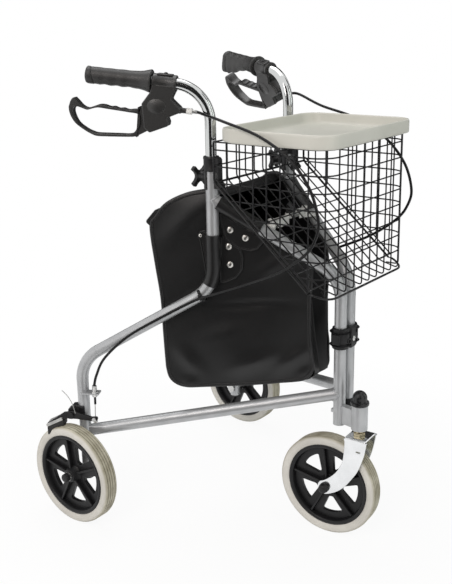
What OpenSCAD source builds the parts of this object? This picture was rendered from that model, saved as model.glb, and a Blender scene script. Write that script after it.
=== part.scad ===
// Three wheel rollator: folding side frames, height adjustable handles, loop brakes, bag, basket and tray.
// Millimetres. +X forward, +Y to the left, +Z up, floor at z = 0.

/* [Wheels] */
// Diameter of all three wheels
wheel_d = 190; // [184:1:194]
// Width of the tyres
tyre_w = 32; // [28:1:34]
// Diameter of the rims under the tyres
rim_d = 158; // [150:1:162]
// Number of rim spokes
spokes = 5; // [4:1:6]

/* [Side frames] */
// Outside diameter of the frame tubes
tube_d = 22.2; // [21:0.1:22.6]
// Wall of the frame tubes
tube_wall = 1.5; // [1.2:0.1:1.6]
// Length of a side frame from front post back to rear leg
side_len = 480; // [474:1:490]
// Angle of each side frame from the centre line
splay = 27.9; // [27:0.1:29]
// Spacing of the two front posts
post_gap = 28.8; // [28:0.1:31]
// Distance from front post back to the upright
upright_s = 225; // [221:1:229]
// Radius of the tube bends
bend_r = 68; // [60:1:72]
// Height where the post line meets the sloping upper tube
bow_z = 486.5; // [482:0.5:488]
// Rise of the upper tube from post to upright
bow_rise = 136; // [130:1:138]
// Height where the upright line meets the sloping rear tube
spine_z = 462; // [456:1:468]
// Height where the sloping rear tube meets the leg line
knee_z = 314; // [308:1:320]
// Height of the lower tube at the leg
low_rear_z = 170; // [168:1:176]
// Height of the lower tube at the front post
low_front_z = 270; // [268:1:276]

/* [Handles] */
// Outside diameter of the handle tubes
handle_d = 19; // [18:0.1:19]
// Height where the handle stem line meets the grip line
grip_z = 812.5; // [806:0.5:818]
// Rise of the grips towards the rear in degrees
grip_rise = 6.2; // [4:0.1:8]
// Diameter of the grips
grip_d = 29; // [27:0.5:30]
// Distance from stem line to the rear end of the grip
grip_end = 214; // [208:1:218]
// Inward turn of the left handle about its upright
left_turn = 7; // [0:0.5:9]
// Outward roll of the left brake unit about its grip
left_roll = 26; // [0:1:28]
// Height the left handle is set above the right
left_lift = 7; // [0:1:8]
// Reach of the palm rest beyond the grip's own radius
palm_reach = 12; // [6:0.5:14]
// Downward tilt of the left palm rest
left_palm = 66; // [50:1:68]

/* [Caster] */
// Distance of the caster stem in front of the posts
caster_dx = 46; // [44:1:50]
// Distance of the caster stem outside the right post
caster_dy = 8; // [4:1:10]
// Trail of the front wheel behind the stem
trail = 56; // [52:1:60]
// Turn of the caster as it stands
caster_turn = 4.3; // [0:0.1:8]
// Height of the lower end of the caster housing
housing_z = 216; // [214:1:219]

/* [Basket and tray] */
// Width of the basket
basket_w = 276; // [268:1:280]
// Length of the basket at the top
basket_len = 217; // [214:1:219]
// Diameter of the basket wires
wire_d = 3.6; // [3:0.1:4]
// Spacing of the basket wires
wire_pitch = 27.6; // [26:0.1:32]
// Width of the tray
tray_w = 288; // [284:1:292]
// Length of the tray
tray_len = 212; // [208:1:214]
// Height of the tray rim
tray_h = 22.6; // [18:0.1:26]

/* [Bag] */
// Thickness of the bag panels
panel_t = 3; // [2:0.1:3.2]
// Length of the bag sleeve on the straight of the upright
sleeve_len = 58; // [50:1:60]

/* [Hidden] */
$fn = 64;

seat = 0.05;
slip = 0.05;
lap = 0.6;
hair = 0.25;
part_gap = 0.4;
near = 1;
far = -1;

tube_r = tube_d / 2;
handle_r = handle_d / 2;
wheel_r = wheel_d / 2;
rim_r = rim_d / 2;
tyre_half = tyre_w / 2;

post_y = post_gap / 2;
post_x = side_len * cos(splay);
leg_y = post_y + side_len * sin(splay);
hub_half = 18;
washer = 4;
wheel_y = leg_y + tube_r + washer + hub_half;
upright_x = post_x - upright_s * cos(splay);
upright_y = post_y + upright_s * sin(splay);

stem_x = post_x + caster_dx;
stem_y = -post_y - caster_dy;
front_x = stem_x - trail * cos(caster_turn);
front_reach = wheel_r * cos(caster_turn) + tyre_half * sin(caster_turn);
origin_x = (front_x + front_reach - wheel_r) / 2;

bow_up = atan(bow_rise / upright_s);
bow_turn = 90 - bow_up;
bow_tan = bend_r * tan(bow_turn / 2);
spine_run = side_len - upright_s;
spine_fall = atan((spine_z - knee_z) / spine_run);
spine_turn = 90 - spine_fall;
spine_tan = bend_r * tan(spine_turn / 2);
spine_len = spine_run / cos(spine_fall);
low_up = atan((low_front_z - low_rear_z) / side_len);
low_len = side_len / cos(low_up);

post_foot = 211;
left_foot = 254;
leg_foot = 76;
upright_top = 690;
collar_r = tube_r + 2.4;
collar_foot = 640;
collar_top = 697;
band_foot = 672;
knob_z = 660;
knob_yaw = 10;

handle_foot = 560;
handle_bend = 65;
handle_turn = 90 - grip_rise;
handle_tan = handle_bend * tan(handle_turn / 2);

clamp_z = 358;
clamp_h = 38;

housing_r = 14.8;
housing_top = housing_z + 46;
stem_r = 8;
bridge_z = housing_z - 11;
fork_in = tyre_half + 4.5;
fork_t = 3;

basket_rear = upright_x + collar_r + 8.2;
basket_front = basket_rear + basket_len;
basket_half = basket_w / 2;
basket_low = bow_z + 4.5;
basket_knee = basket_low + 165;
basket_top = 724;
slope_foot = basket_front - 30;
slope_run = slope_foot - basket_rear;
slope_len = sqrt(slope_run * slope_run + 165 * 165);
slope_ang = atan(165 / slope_run);
edge_d = wire_d + 0.8;
corner_r = 28;
tray_z = basket_top + edge_d / 2 + part_gap;
tray_front = basket_front + 5;

pin_s = 124;
pin_in = 20;
pin_x = post_x - pin_s * cos(splay) - pin_in * sin(splay);
pin_y = post_y + pin_s * sin(splay) - pin_in * cos(splay);
brace_z = bow_z + pin_s * bow_rise / upright_s + 15.5;
brace_t = 4;

bag_front = 50;
bag_rear = 316;

panel_in = tube_r + part_gap;
pivot_s = side_len + 20;
pivot_z = 209;
pad_gap = 3;

module place() {
    translate([-origin_x, 0, 0]) children();
}

module right_side() {
    place() translate([post_x, -post_y, 0]) rotate([0, 0, splay]) children();
}

module left_side() {
    mirror([0, 1, 0]) right_side() children();
}

module at_upright() {
    translate([-upright_s, 0, 0]) rotate([0, 0, -splay]) children();
}

module at_leg() {
    translate([-side_len, 0, wheel_r]) rotate([0, 0, -splay]) children();
}

module at_grip(turn, roll, lift) {
    translate([-upright_s, 0, lift]) rotate([0, 0, -turn])
        translate([0, 0, grip_z]) rotate([0, grip_rise, 0]) rotate([-roll, 0, 0]) children();
}

module at_stem() {
    place() translate([stem_x, stem_y, 0]) rotate([0, 0, caster_turn]) children();
}

module at_front_wheel() {
    at_stem() translate([-trail, 0, wheel_r]) rotate([90, 0, 0]) children();
}

module at_right_wheel() {
    place() translate([0, -wheel_y, wheel_r]) rotate([90, 0, 0]) children();
}

module at_left_wheel() {
    mirror([0, 1, 0]) at_right_wheel() children();
}

// Plate in a side plane, outline in distance back and height, from y0 inwards over thickness t.
module side_plate(points, y0, t) {
    translate([0, y0 + t, 0]) rotate([90, 0, 0]) linear_extrude(t) mirror([1, 0, 0]) polygon(points);
}

module ring(r, wall) {
    difference() {
        circle(r);
        circle(r - wall);
    }
}

module pipe(r, wall, h) {
    linear_extrude(h) ring(r, wall);
}

// Solid elbow in the XZ plane, from the +X side upwards, about the origin.
module elbow(r, bend, turn) {
    rotate([90, 0, 0]) rotate_extrude(angle = turn) translate([bend, 0]) circle(r);
}

module rod_y(r, y0, y1) {
    translate([0, y0, 0]) rotate([-90, 0, 0]) cylinder(r = r, h = y1 - y0);
}

module rod_x(r, x0, x1) {
    translate([x0, 0, 0]) rotate([0, 90, 0]) cylinder(r = r, h = x1 - x0);
}

// Straight and bent runs of a front bow at one radius; the elbow is a hair fuller than the straights.
module bow_run(r, foot, extra) {
    translate([0, 0, foot - extra]) cylinder(r = r, h = bow_z - bow_tan - foot + lap + extra);
    translate([-bend_r, 0, bow_z - bow_tan]) elbow(r + hair, bend_r, bow_turn);
    translate([0, 0, bow_z]) rotate([0, -bow_turn, 0]) translate([0, 0, bow_tan - lap])
        cylinder(r = r, h = upright_s / cos(bow_up) - bow_tan + lap + extra);
}

// Front post, top bend and sloping upper tube of one side frame.
module bow(foot) {
    difference() {
        bow_run(tube_r, foot, 0);
        bow_run(tube_r - tube_wall, foot, 1);
        translate([-upright_s, 0, 500]) cylinder(r = tube_r + seat, h = 200);
    }
}

// Runs of the upright, sloping rear tube and rear leg at one radius.
module spine_run(r, extra) {
    translate([-upright_s, 0, spine_z + spine_tan - lap])
        cylinder(r = r, h = upright_top - spine_z - spine_tan + lap + extra);
    translate([-upright_s - bend_r, 0, spine_z + spine_tan]) rotate([0, spine_turn, 0])
        elbow(r + hair, bend_r, spine_turn);
    translate([-upright_s, 0, spine_z]) rotate([0, -90 - spine_fall, 0]) translate([0, 0, spine_tan - lap])
        cylinder(r = r, h = spine_len - 2 * spine_tan + 2 * lap);
    translate([-side_len + bend_r, 0, knee_z - spine_tan]) rotate([0, 180 + spine_turn, 0])
        elbow(r + hair, bend_r, spine_turn);
    translate([-side_len, 0, leg_foot - extra]) cylinder(r = r, h = knee_z - spine_tan - leg_foot + lap + extra);
}

// Upright, sloping rear tube and rear leg of one side frame, one bent tube, with the cable stop on the leg.
module spine() {
    difference() {
        union() {
            spine_run(tube_r, 0);
            translate([-side_len, -16, 250]) cube([34, 19, 3]);
            translate([-side_len + 26, -12, 246]) cylinder(r = 4.2, h = 22);
        }
        spine_run(tube_r - tube_wall, 1);
        at_leg() rod_y(5 + seat, -30, 30);
        at_upright() translate([0, 0, knob_z]) rotate([0, 0, -knob_yaw]) rod_x(4 + part_gap, -30, 0);
        translate([-side_len + 26, -12, 240]) cylinder(r = 1.7, h = 40);
    }
}

module lower_tube() {
    difference() {
        translate([-side_len, 0, low_rear_z]) rotate([0, 90 - low_up, 0]) pipe(tube_r, tube_wall, low_len);
        translate([-side_len, 0, 100]) cylinder(r = tube_r + seat, h = 150);
        translate([0, 0, 200]) cylinder(r = tube_r + seat, h = 150);
    }
}

// Plastic collar on the upright: full band above, half shell with the knob boss behind, basket hook in front.
module collar() {
    k = basket_rear - upright_x;
    ledge = basket_knee - edge_d / 2 - part_gap;
    at_upright() difference() {
        union() {
            translate([0, 0, band_foot]) cylinder(r = collar_r, h = collar_top - band_foot);
            intersection() {
                translate([0, 0, collar_foot]) cylinder(r = collar_r, h = band_foot + lap - collar_foot);
                rotate([0, 0, -knob_yaw]) translate([-30, -15, collar_foot]) cube([30, 30, 60]);
            }
            translate([0, 0, knob_z]) rotate([0, 0, -knob_yaw]) rod_x(9, -17, 0);
            translate([0, 6, 0]) rotate([90, 0, 0]) linear_extrude(12) difference() {
                polygon([[0, collar_top - 1], [k - 6, collar_top - 1], [k - 2.5, collar_top - 5], [k - 2.5, ledge],
                    [k, ledge], [k + 4, basket_knee - 7.5], [k + 4, basket_knee - 10], [k - 1, basket_knee - 14],
                    [0, basket_knee - 14]]);
                polygon([[10, ledge + 5], [k - 4.7, ledge + 5], [k - 4.7, band_foot - 4], [k - 7, band_foot - lap],
                    [10, band_foot - lap]]);
            }
        }
        translate([0, 0, collar_foot - 1]) cylinder(r = tube_r + seat, h = upright_top + seat - collar_foot + 1);
        translate([0, 0, upright_top - 1]) cylinder(r = handle_r + slip, h = 20);
        translate([0, 0, knob_z]) rotate([0, 0, -knob_yaw]) rod_x(4 + slip, -40, 0);
    }
}

// Star knob with four square arms; its stud clamps the handle stem.
module knob() {
    at_upright() translate([0, 0, knob_z]) rotate([0, 0, -knob_yaw]) {
        rod_x(4, -28, -handle_r - part_gap);
        rod_x(8, -26.6, -17.4);
        translate([-34.4, 0, 0]) rotate([0, 90, 0]) linear_extrude(8) {
            circle(9);
            for (a = [0 : 90 : 270]) rotate(a + 45) translate([0, -4.5]) square([22, 9]);
        }
    }
}

module axle() {
    at_leg() {
        rod_y(5, -wheel_y + leg_y - hub_half - 4, tube_r + 6);
        rod_y(8.5, tube_r + part_gap, tube_r + 6);
        rod_y(8.5, -wheel_y + leg_y - hub_half - 4, -wheel_y + leg_y - hub_half - part_gap);
        difference() {
            rod_y(8, -tube_r - washer + part_gap, -tube_r + 3);
            translate([0, 0, -20]) cylinder(r = tube_r + seat, h = 40);
        }
    }
}

// Brake bracket clasped on the back of the leg, with the pivot pin.
module brake_bracket() {
    difference() {
        union() {
            translate([-side_len, 0, 198]) cylinder(r = tube_r + 3.5, h = 27);
            side_plate([[side_len - 4, 198], [side_len + 22, 198], [side_len + 29, 204], [side_len + 29, 217],
                [side_len + 17, 226], [side_len - 4, 225]], -12.4, 16);
            translate([-pivot_s, 0, pivot_z]) rod_y(4, -23.4, -12);
            translate([-pivot_s, 0, pivot_z]) rod_y(7, -24.4, -21.6);
        }
        translate([-side_len, 0, 190]) cylinder(r = tube_r + seat, h = 80);
        translate([-side_len + 4, -20, 190]) cube([20, 40, 40]);
    }
}

// Brake arm outline back along the side plane: cable end in front, pivot, pad seat over the tyre.
module brake_arm() {
    difference() {
        union() {
            side_plate([[side_len - 31, 201], [side_len - 22, 199], [side_len + 10, 202], [side_len + 30, 202],
                [side_len + 68, 184], [side_len + 70, 189], [side_len + 34, 214], [side_len + 16, 217],
                [side_len - 20, 207], [side_len - 31, 208]], -21.2, 6);
            side_plate([[side_len + 36, 199.4], [side_len + 68, 184], [side_len + 70, 189], [side_len + 38, 205.4]],
                -24, 26);
        }
        translate([-pivot_s, 0, pivot_z]) rod_y(4 + slip, -40, 0);
    }
}

module brake_pad() {
    difference() {
        side_plate([[side_len + 35, 199], [side_len + 68, 183.2], [side_len + 66, 160], [side_len + 35, 160]],
            -23, 22);
        at_leg() rod_y(wheel_r + pad_gap, -80, 40);
    }
}

module handle_run(r, extra) {
    translate([0, 0, handle_foot - extra]) cylinder(r = r, h = grip_z - handle_tan - handle_foot + lap + extra);
    translate([-handle_bend, 0, grip_z - handle_tan]) elbow(r + hair, handle_bend, handle_turn);
    translate([0, 0, grip_z]) rotate([0, -handle_turn, 0]) translate([0, 0, handle_tan - lap])
        cylinder(r = r, h = grip_end - 8 - handle_tan + lap + extra);
}

module handle_tube(turn, lift) {
    translate([-upright_s, 0, lift]) rotate([0, 0, -turn]) difference() {
        handle_run(handle_r, 0);
        handle_run(handle_r - 1.5, 1);
    }
}

module grip(turn, lift, palm) {
    g = grip_d / 2;
    at_grip(turn, 0, lift) rotate([0, -90, 0]) {
        rotate_extrude() polygon([
            [handle_r + seat, 99], [g + 4, 99], [g + 5, 101], [g + 4.4, 104], [g + 2.4, 110], [g + 0.8, 118],
            [g - 0.4, 128], [g, 138], [g - 0.5, 148], [g, 158], [g - 0.5, 168], [g, 178], [g - 0.4, grip_end - 12],
            [g + 0.6, grip_end - 10], [g + 0.6, grip_end - 4], [g - 2, grip_end], [0, grip_end],
            [0, grip_end - 6], [handle_r + seat, grip_end - 6]
        ]);
        rotate([0, 0, 90 + palm]) palm_rest(g);
    }
}

// Palm rest drawn out of one side of the grip, rising towards its rear end.
module palm_rest(g) {
    tip = 7.5;
    difference() {
        translate([0, 0, 146]) linear_extrude(grip_end - 3 - 146) {
            translate([g + palm_reach - tip, 0]) circle(tip);
            polygon([[g - 4, -9.5], [g + palm_reach - tip, -tip + 0.1], [g + palm_reach - tip, tip - 0.1], [g - 4, 9.5]]);
        }
        translate([g - 2.5, -30, 146]) rotate([0, 17, 0]) cube([60, 60, 90]);
    }
}

module brake_housing(turn, roll, lift) {
    at_grip(turn, roll, lift) difference() {
        union() {
            rod_x(handle_r + 4, -97, -56);
            side_plate([[97, -4], [98.4, -18], [112.5, -38], [106, -78.5], [95.5, -85.5], [64, -71], [63.5, -64],
                [67, -57.5], [48, -48], [43, -42.5], [47.5, -37], [62.5, -25.5], [57, -4]], -13, 26);
            translate([0, 0, -43]) rod_x(4.5, -46, -36);
            translate([0, 0, -43.2]) rod_x(5.2, -36, -26);
        }
        rod_x(handle_r + seat, -120, -40);
        rod_x(handle_r + hair + part_gap, -handle_tan - 2 * lap, -40);
        side_plate([[84, -24], [130, -18], [130, -110], [91, -110], [83, -56]], -6.4, 12.8);
        translate([-86.2, 0, -39.5]) rod_y(15, -6.4, 6.4);
        translate([0, 0, -43.2]) rod_x(1.6, -60, -20);
    }
    at_grip(turn, roll, lift) translate([-86.2, 0, -39.5]) rod_y(4, -9, 9);
}

// Loop lever hung in the brake housing.
module lever(turn, roll, lift) {
    at_grip(turn, roll, lift) difference() {
        union() {
            translate([-86.2, 0, -39.5]) rod_y(12, -6, 6);
            side_plate([[86, -28], [114, -43], [118, -58], [116, -72], [122, -88], [119, -95], [101, -84],
                [84, -51]], -6, 12);
            difference() {
                side_plate([[115.5, -44], [129, -48], [149, -48], [169, -47], [186, -46], [196, -49],
                    [208, -55.5], [217, -51.5], [224, -45], [230, -41], [237, -45], [242, -58.5], [238, -72],
                    [228, -86], [212, -95], [191, -104], [122, -97.5], [115.5, -93.5]], -9, 18);
                side_plate([[118, -58.5], [134.5, -57.5], [168, -56], [191, -55], [206, -60], [219, -57.7],
                    [230, -60], [228, -70], [222, -81], [207.5, -89.6], [189, -94.7], [133, -90.6],
                    [123, -86], [116.5, -73]], -10, 20);
            }
        }
        translate([-86.2, 0, -39.5]) rod_y(4 + slip, -20, 20);
    }
}

module tyre() {
    w = tyre_half;
    r = wheel_r;
    rotate_extrude() polygon([
        [rim_r + seat, -w + 3], [rim_r + 5, -w + 0.6], [r - 6, -w], [r - 2, -w + 1.4], [r, -w + 4.5],
        [r, -9.6], [r - 1.4, -9.2], [r - 1.4, -8.4], [r, -8], [r, -3.6], [r - 1.4, -3.2], [r - 1.4, -2.4],
        [r, -2], [r, 2], [r - 1.4, 2.4], [r - 1.4, 3.2], [r, 3.6], [r, 8], [r - 1.4, 8.4], [r - 1.4, 9.2],
        [r, 9.6], [r, w - 4.5], [r - 2, w - 1.4], [r - 6, w], [rim_r + 5, w - 0.6], [rim_r + seat, w - 3]
    ]);
}

module rim(bore, half) {
    difference() {
        union() {
            translate([0, 0, -tyre_half + 3]) pipe(rim_r, 8, tyre_w - 6);
            translate([0, 0, -half]) cylinder(r = 15, h = 2 * half);
            translate([0, 0, -4]) linear_extrude(8) difference() {
                circle(rim_r - 4);
                intersection() {
                    ring(rim_r - 20, rim_r - 48);
                    for (i = [0 : spokes - 1]) rotate((i + 0.5) * 360 / spokes + 26)
                        polygon([[20, -0.5], [rim_r - 12, -28], [rim_r - 12, 28], [20, 0.5]]);
                }
            }
            for (i = [0 : spokes - 1]) rotate(i * 360 / spokes + 26) translate([10, -2, -12])
                cube([rim_r - 14, 4, 24]);
        }
        translate([0, 0, -half - 1]) cylinder(r = bore, h = 2 * half + 2);
    }
}

module caster_housing_part() {
    place() difference() {
        union() {
            translate([stem_x, stem_y, housing_z]) cylinder(r = housing_r, h = housing_top - housing_z);
            translate([post_x, -post_y, housing_z]) rotate([0, 0, atan2(-caster_dy, caster_dx)])
                translate([0, -6, 0]) cube([caster_dx, 12, 34]);
            translate([post_x - 15, -post_y - 4, left_foot - 22]) cube([30, post_gap + 17, 6]);
        }
        translate([post_x, -post_y, 200]) cylinder(r = tube_r + seat, h = 100);
        translate([stem_x, stem_y, 200]) cylinder(r = stem_r + slip, h = 100);
    }
}

// Black cap on the caster housing: flange and dome over the stem end.
module caster_cap_part() {
    place() translate([stem_x, stem_y, housing_top]) rotate_extrude() difference() {
        union() {
            translate([0, part_gap]) square([housing_r + 1.9, 7]);
            translate([0, 7]) square([13, 7]);
            intersection() {
                translate([0, 14]) circle(13);
                translate([0, 14]) square([14, 14]);
            }
        }
        translate([-20, -1]) square([20, 40]);
        translate([0, -1]) square([stem_r + 2, 16]);
    }
}

// Hinge clamp joining the two front posts.
module hinge_clamp_part() {
    place() translate([post_x, 0, clamp_z]) difference() {
        union() {
            for (y = [-post_y, post_y]) translate([0, y, 0]) cylinder(r = tube_r + 4.5, h = clamp_h);
            translate([-12, -post_y, 3]) cube([24, post_gap, clamp_h - 6]);
            translate([0, -9, 6]) cube([19, 18, clamp_h - 12]);
        }
        translate([0, -post_y, -1]) cylinder(r = tube_r + seat, h = clamp_h + 2);
        translate([0, post_y, -1]) cylinder(r = tube_r + slip, h = clamp_h + 2);
        translate([0, 0, clamp_h / 2]) rod_x(3, 10, 30);
    }
}

// Bush the left post turns on, standing on the tongue of the caster housing.
module hinge_bush_part() {
    place() translate([post_x, post_y, 0]) {
        translate([0, 0, left_foot - 16 + seat]) cylinder(r = tube_r + 2, h = 16 - part_gap);
        translate([0, 0, left_foot - 1]) cylinder(r = tube_r - tube_wall - slip, h = 15);
    }
}

module fork() {
    at_stem() {
        difference() {
            union() {
                translate([-21, -fork_in - fork_t, bridge_z - 4]) cube([45, 2 * fork_in + 2 * fork_t, 4]);
                for (y = [-fork_in - fork_t, fork_in]) side_plate([[18, bridge_z - 0.5], [18, 182], [21, 157],
                    [34, 131], [57, 109], [66, 105], [70, wheel_r], [66, wheel_r - 9], [57, wheel_r - 13],
                    [46, wheel_r - 10], [30, 94], [4, 123], [-14, 157], [-21, 184], [-24, bridge_z - 0.5]], y, fork_t);
            }
            translate([-trail, 0, wheel_r]) rod_y(4 + seat, -60, 60);
        }
        translate([0, 0, bridge_z - 2]) cylinder(r = stem_r, h = housing_top + 8 - bridge_z);
        translate([0, 0, bridge_z - 1]) cylinder(r = 11, h = 12 - part_gap);
    }
}

module front_axle_part() {
    at_front_wheel() {
        translate([0, 0, -fork_in - fork_t - 7]) cylinder(r = 4, h = 2 * (fork_in + fork_t + 7));
        for (s = [0, 1]) mirror([0, 0, s]) {
            translate([0, 0, fork_in + fork_t + seat]) cylinder(r = 8, h = 7);
            translate([0, 0, fork_in - 3]) cylinder(r = 7, h = 3 - seat);
        }
    }
}

// Post that carries one half of the folding brace, on a plate welded inside the upper tube.
module brace_post(level) {
    z = brace_z + level * (brace_t + part_gap);
    difference() {
        union() {
            translate([-pin_s - 8, 0, brace_z - 8]) cube([16, pin_in + 7, 5]);
            translate([-pin_s, pin_in, brace_z - 8]) cylinder(r = 7, h = z - part_gap - brace_z + 8);
            translate([-pin_s, pin_in, brace_z - 8]) cylinder(r = 4, h = z + brace_t + 4 - brace_z + 8);
            translate([-pin_s, pin_in, z + brace_t + part_gap]) cylinder(r = 6.5, h = 2.6);
        }
        translate([0, 0, bow_z]) rotate([0, -bow_turn, 0]) cylinder(r = tube_r + seat, h = 300);
    }
}

// Half of the folding brace, from its post to just past the centre line.
module brace_bar(level) {
    place() translate([pin_x, -pin_y, brace_z + level * (brace_t + part_gap)]) difference() {
        union() {
            cylinder(r = 6.5, h = brace_t);
            translate([-6.5, 0, 0]) cube([13, pin_y, brace_t]);
            translate([0, pin_y, 0]) cylinder(r = 6.5, h = brace_t);
        }
        translate([0, 0, -1]) cylinder(r = 4 + slip, h = 20);
    }
}

module brace_lever_part() {
    z = brace_z + 2 * brace_t + part_gap;
    place() translate([pin_x, 0, z + seat]) {
        cylinder(r = 5.5, h = 3);
        translate([-6, 0, 0]) cube([11, 14, 3]);
        translate([0, 10, 2]) rotate([0, -35, 25]) translate([-3, 0, 0]) cube([3.5, 26, 14]);
    }
}

PANEL = [[46, 303], [53, 370], [54, 430], [57, 521], [130, 565], [204, 609], [216, 626], [226, 634], [237, 636],
    [274, 629], [310, 612], [331, 588], [341, 569], [334, 500], [326, 436], [320, 301], [317, 284], [309, 273],
    [285, 263], [163, 274], [72, 285], [54, 291]];
FLAPS = [
    [[140, 554], [216, 600], [212, 575], [206, 551], [196, 539], [181, 532], [160, 528.5], [147, 532.5], [138, 544]],
    [[212.6, 556], [190, 545], [177, 530], [173, 517], [175, 493], [187, 478], [205, 470], [215, 468.5]],
    [[237.6, 566], [250, 562], [254, 554], [250, 545], [243, 500], [240, 472], [237.6, 470]]
];
// Distance back, height and radius of each stud.
STUDS = [[196, 566, 5], [169, 552, 5], [199, 536, 5], [197, 503, 5], [249, 555, 3.2]];

// Bag side: panel inside the frame, sleeves round upright and upper tube, stud flaps.
module bag_panel() {
    side_plate(PANEL, panel_in, panel_t);
    difference() {
        union() {
            for (f = FLAPS) side_plate(f, panel_in - 2.4, 2.6);
            translate([-upright_s, 0, spine_z + spine_tan - lap]) cylinder(r = tube_r + 2.6, h = sleeve_len + lap);
            translate([-upright_s - bend_r, 0, spine_z + spine_tan]) rotate([0, 30, 0])
                elbow(tube_r + 2.6 + hair, bend_r, 30);
        }
        spine_run(tube_r + seat, 1);
    }
    difference() {
        translate([0, 0, bow_z]) rotate([0, -bow_turn, 0]) translate([0, 0, 164]) cylinder(r = tube_r + 2.6, h = 86);
        translate([0, 0, bow_z]) rotate([0, -bow_turn, 0]) cylinder(r = tube_r + seat, h = 300);
        spine_run(tube_r + part_gap, 1);
    }
}

module bag_studs() {
    for (p = STUDS) translate([-p[0], panel_in - 2.4 - seat, p[1]]) rotate([90, 0, 0]) rotate_extrude()
        intersection() {
            translate([0, -0.8 * p[2]]) circle(1.4 * p[2]);
            square([p[2], 0.8 * p[2]]);
        }
}

// Front, bottom and rear of the bag between the two side panels.
module bag_gusset_part() {
    g = panel_in + panel_t + part_gap;
    x1 = post_x - bag_front * cos(splay) - g * sin(splay);
    w1 = post_y + bag_front * sin(splay) - g * cos(splay);
    x2 = post_x - bag_rear * cos(splay) - g * sin(splay);
    w2 = post_y + bag_rear * sin(splay) - g * cos(splay);
    k = tan(splay);
    place() {
        translate([0, 0, 290]) linear_extrude(190)
            polygon([[x1, -w1], [x1, w1], [x1 - 2, w1 + 2 * k], [x1 - 2, -w1 - 2 * k]]);
        translate([0, 0, 290]) linear_extrude(280)
            polygon([[x2 + 2, 2 * k - w2], [x2 + 2, w2 - 2 * k], [x2, w2], [x2, -w2]]);
        translate([0, 0, 288]) linear_extrude(3)
            polygon([[x1, -w1], [x1, w1], [x2, w2], [x2, -w2]]);
    }
}

module grid(w, h, pitch_x, pitch_y) {
    nx = max(2, round(w / pitch_x));
    ny = max(2, round(h / pitch_y));
    for (i = [0 : nx]) translate([i * w / nx - wire_d / 2, 0]) square([wire_d, h]);
    for (j = [0 : ny]) translate([0, j * h / ny - wire_d / 2]) square([w, wire_d]);
}

SIDE = [[basket_rear, basket_knee], [slope_foot, basket_low], [basket_front - corner_r, basket_low],
    [basket_front - corner_r, basket_top], [basket_rear, basket_top]];

// Square openings of a wire net, one pitch apart from the corner of the outline.
module openings(w, h, nx, ny) {
    for (i = [0 : nx - 1]) for (j = [0 : ny - 1]) translate([i * w / nx + wire_d / 2, j * h / ny + wire_d / 2])
        square([w / nx - wire_d, h / ny - wire_d]);
}

// One side of the basket: its outline less the net openings, with a heavier rim.
module basket_side() {
    e = edge_d;
    q = e / cos(slope_ang);
    w = basket_len - corner_r;
    h = basket_top - basket_low;
    place() translate([0, -basket_half + wire_d / 2, 0]) rotate([90, 0, 0]) linear_extrude(wire_d) difference() {
        polygon(SIDE);
        intersection() {
            polygon([[basket_rear + e, basket_knee + q - e * tan(slope_ang)], [slope_foot + q / 2, basket_low + e],
                [basket_front - corner_r - 1, basket_low + e], [basket_front - corner_r - 1, basket_top - e],
                [basket_rear + e, basket_top - e]]);
            translate([basket_rear, basket_low]) openings(w, h, round(w / wire_pitch), round(h / wire_pitch));
        }
    }
}

module basket_corner() {
    n = max(2, round((basket_top - basket_low) / wire_pitch));
    for (j = [0 : n]) translate([0, 0, j * (basket_top - basket_low) / n - wire_d / 2]) rotate_extrude(angle = 90)
        translate([corner_r - wire_d / 2, 0]) square(wire_d);
    for (a = [45]) rotate(a) translate([corner_r - wire_d / 2, -wire_d / 2, 0])
        cube([wire_d, wire_d, basket_top - basket_low]);
}

module basket_front_part() {
    w = basket_w - 2 * corner_r;
    n = max(2, round(w / wire_pitch));
    place() {
        translate([basket_front - wire_d / 2, -w / 2, basket_low]) rotate([90, 0, 90]) linear_extrude(wire_d)
            intersection() {
                grid(w, basket_top - basket_low, wire_pitch, wire_pitch);
                translate([-wire_d, -wire_d / 2]) square([w + 2 * wire_d, basket_top - basket_low + wire_d / 2]);
            }
        translate([basket_front - corner_r, w / 2, basket_low]) basket_corner();
        mirror([0, 1, 0]) translate([basket_front - corner_r, w / 2, basket_low]) basket_corner();
    }
}

module basket_rear_part() {
    w = basket_w - wire_d - 2 * seat;
    place() translate([basket_rear + wire_d / 2, -w / 2, basket_knee + edge_d / 2]) rotate([90, 0, 90])
        translate([0, 0, -wire_d]) linear_extrude(wire_d) intersection() {
            grid(w, basket_top - basket_knee - edge_d / 2, wire_pitch, wire_pitch);
            square([w, basket_top - basket_knee - edge_d / 2]);
        }
}

module basket_slope_part() {
    w = basket_w - wire_d - 2 * seat;
    place() translate([basket_rear, -w / 2, basket_knee]) rotate([0, slope_ang, 0]) rotate([0, 0, 90])
        mirror([0, 1, 0]) translate([0, 0, -wire_d / 2]) linear_extrude(wire_d) intersection() {
            translate([0, edge_d]) grid(w, slope_len - 2 * edge_d, wire_pitch, wire_pitch);
            translate([0, edge_d]) square([w, slope_len - 2 * edge_d]);
        }
}

module basket_floor_part() {
    w = basket_w - wire_d - 2 * seat;
    l = 30 - wire_d;
    c = corner_r - wire_d / 2 - seat;
    place() translate([slope_foot, -w / 2, basket_low]) linear_extrude(wire_d) intersection() {
        translate([l, 0]) rotate(90) grid(w, l, wire_pitch, wire_pitch / 2);
        union() {
            square([30 - corner_r, w]);
            translate([0, c]) square([l, w - 2 * c]);
            for (y = [c, w - c]) translate([30 - corner_r, y]) intersection() {
                circle(c);
                translate([-30, -50]) square([l + corner_r, 100]);
            }
        }
    }
}

module rounded(x0, x1, half, r) {
    for (y = [-half + r, half - r]) {
        translate([x0 + r, y]) circle(r);
        translate([x1 - r, y]) circle(r);
    }
    translate([x0, -half + r]) square([x1 - x0, 2 * half - 2 * r]);
    translate([x0 + r, -half]) square([x1 - x0 - 2 * r, 2 * half]);
}

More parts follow.
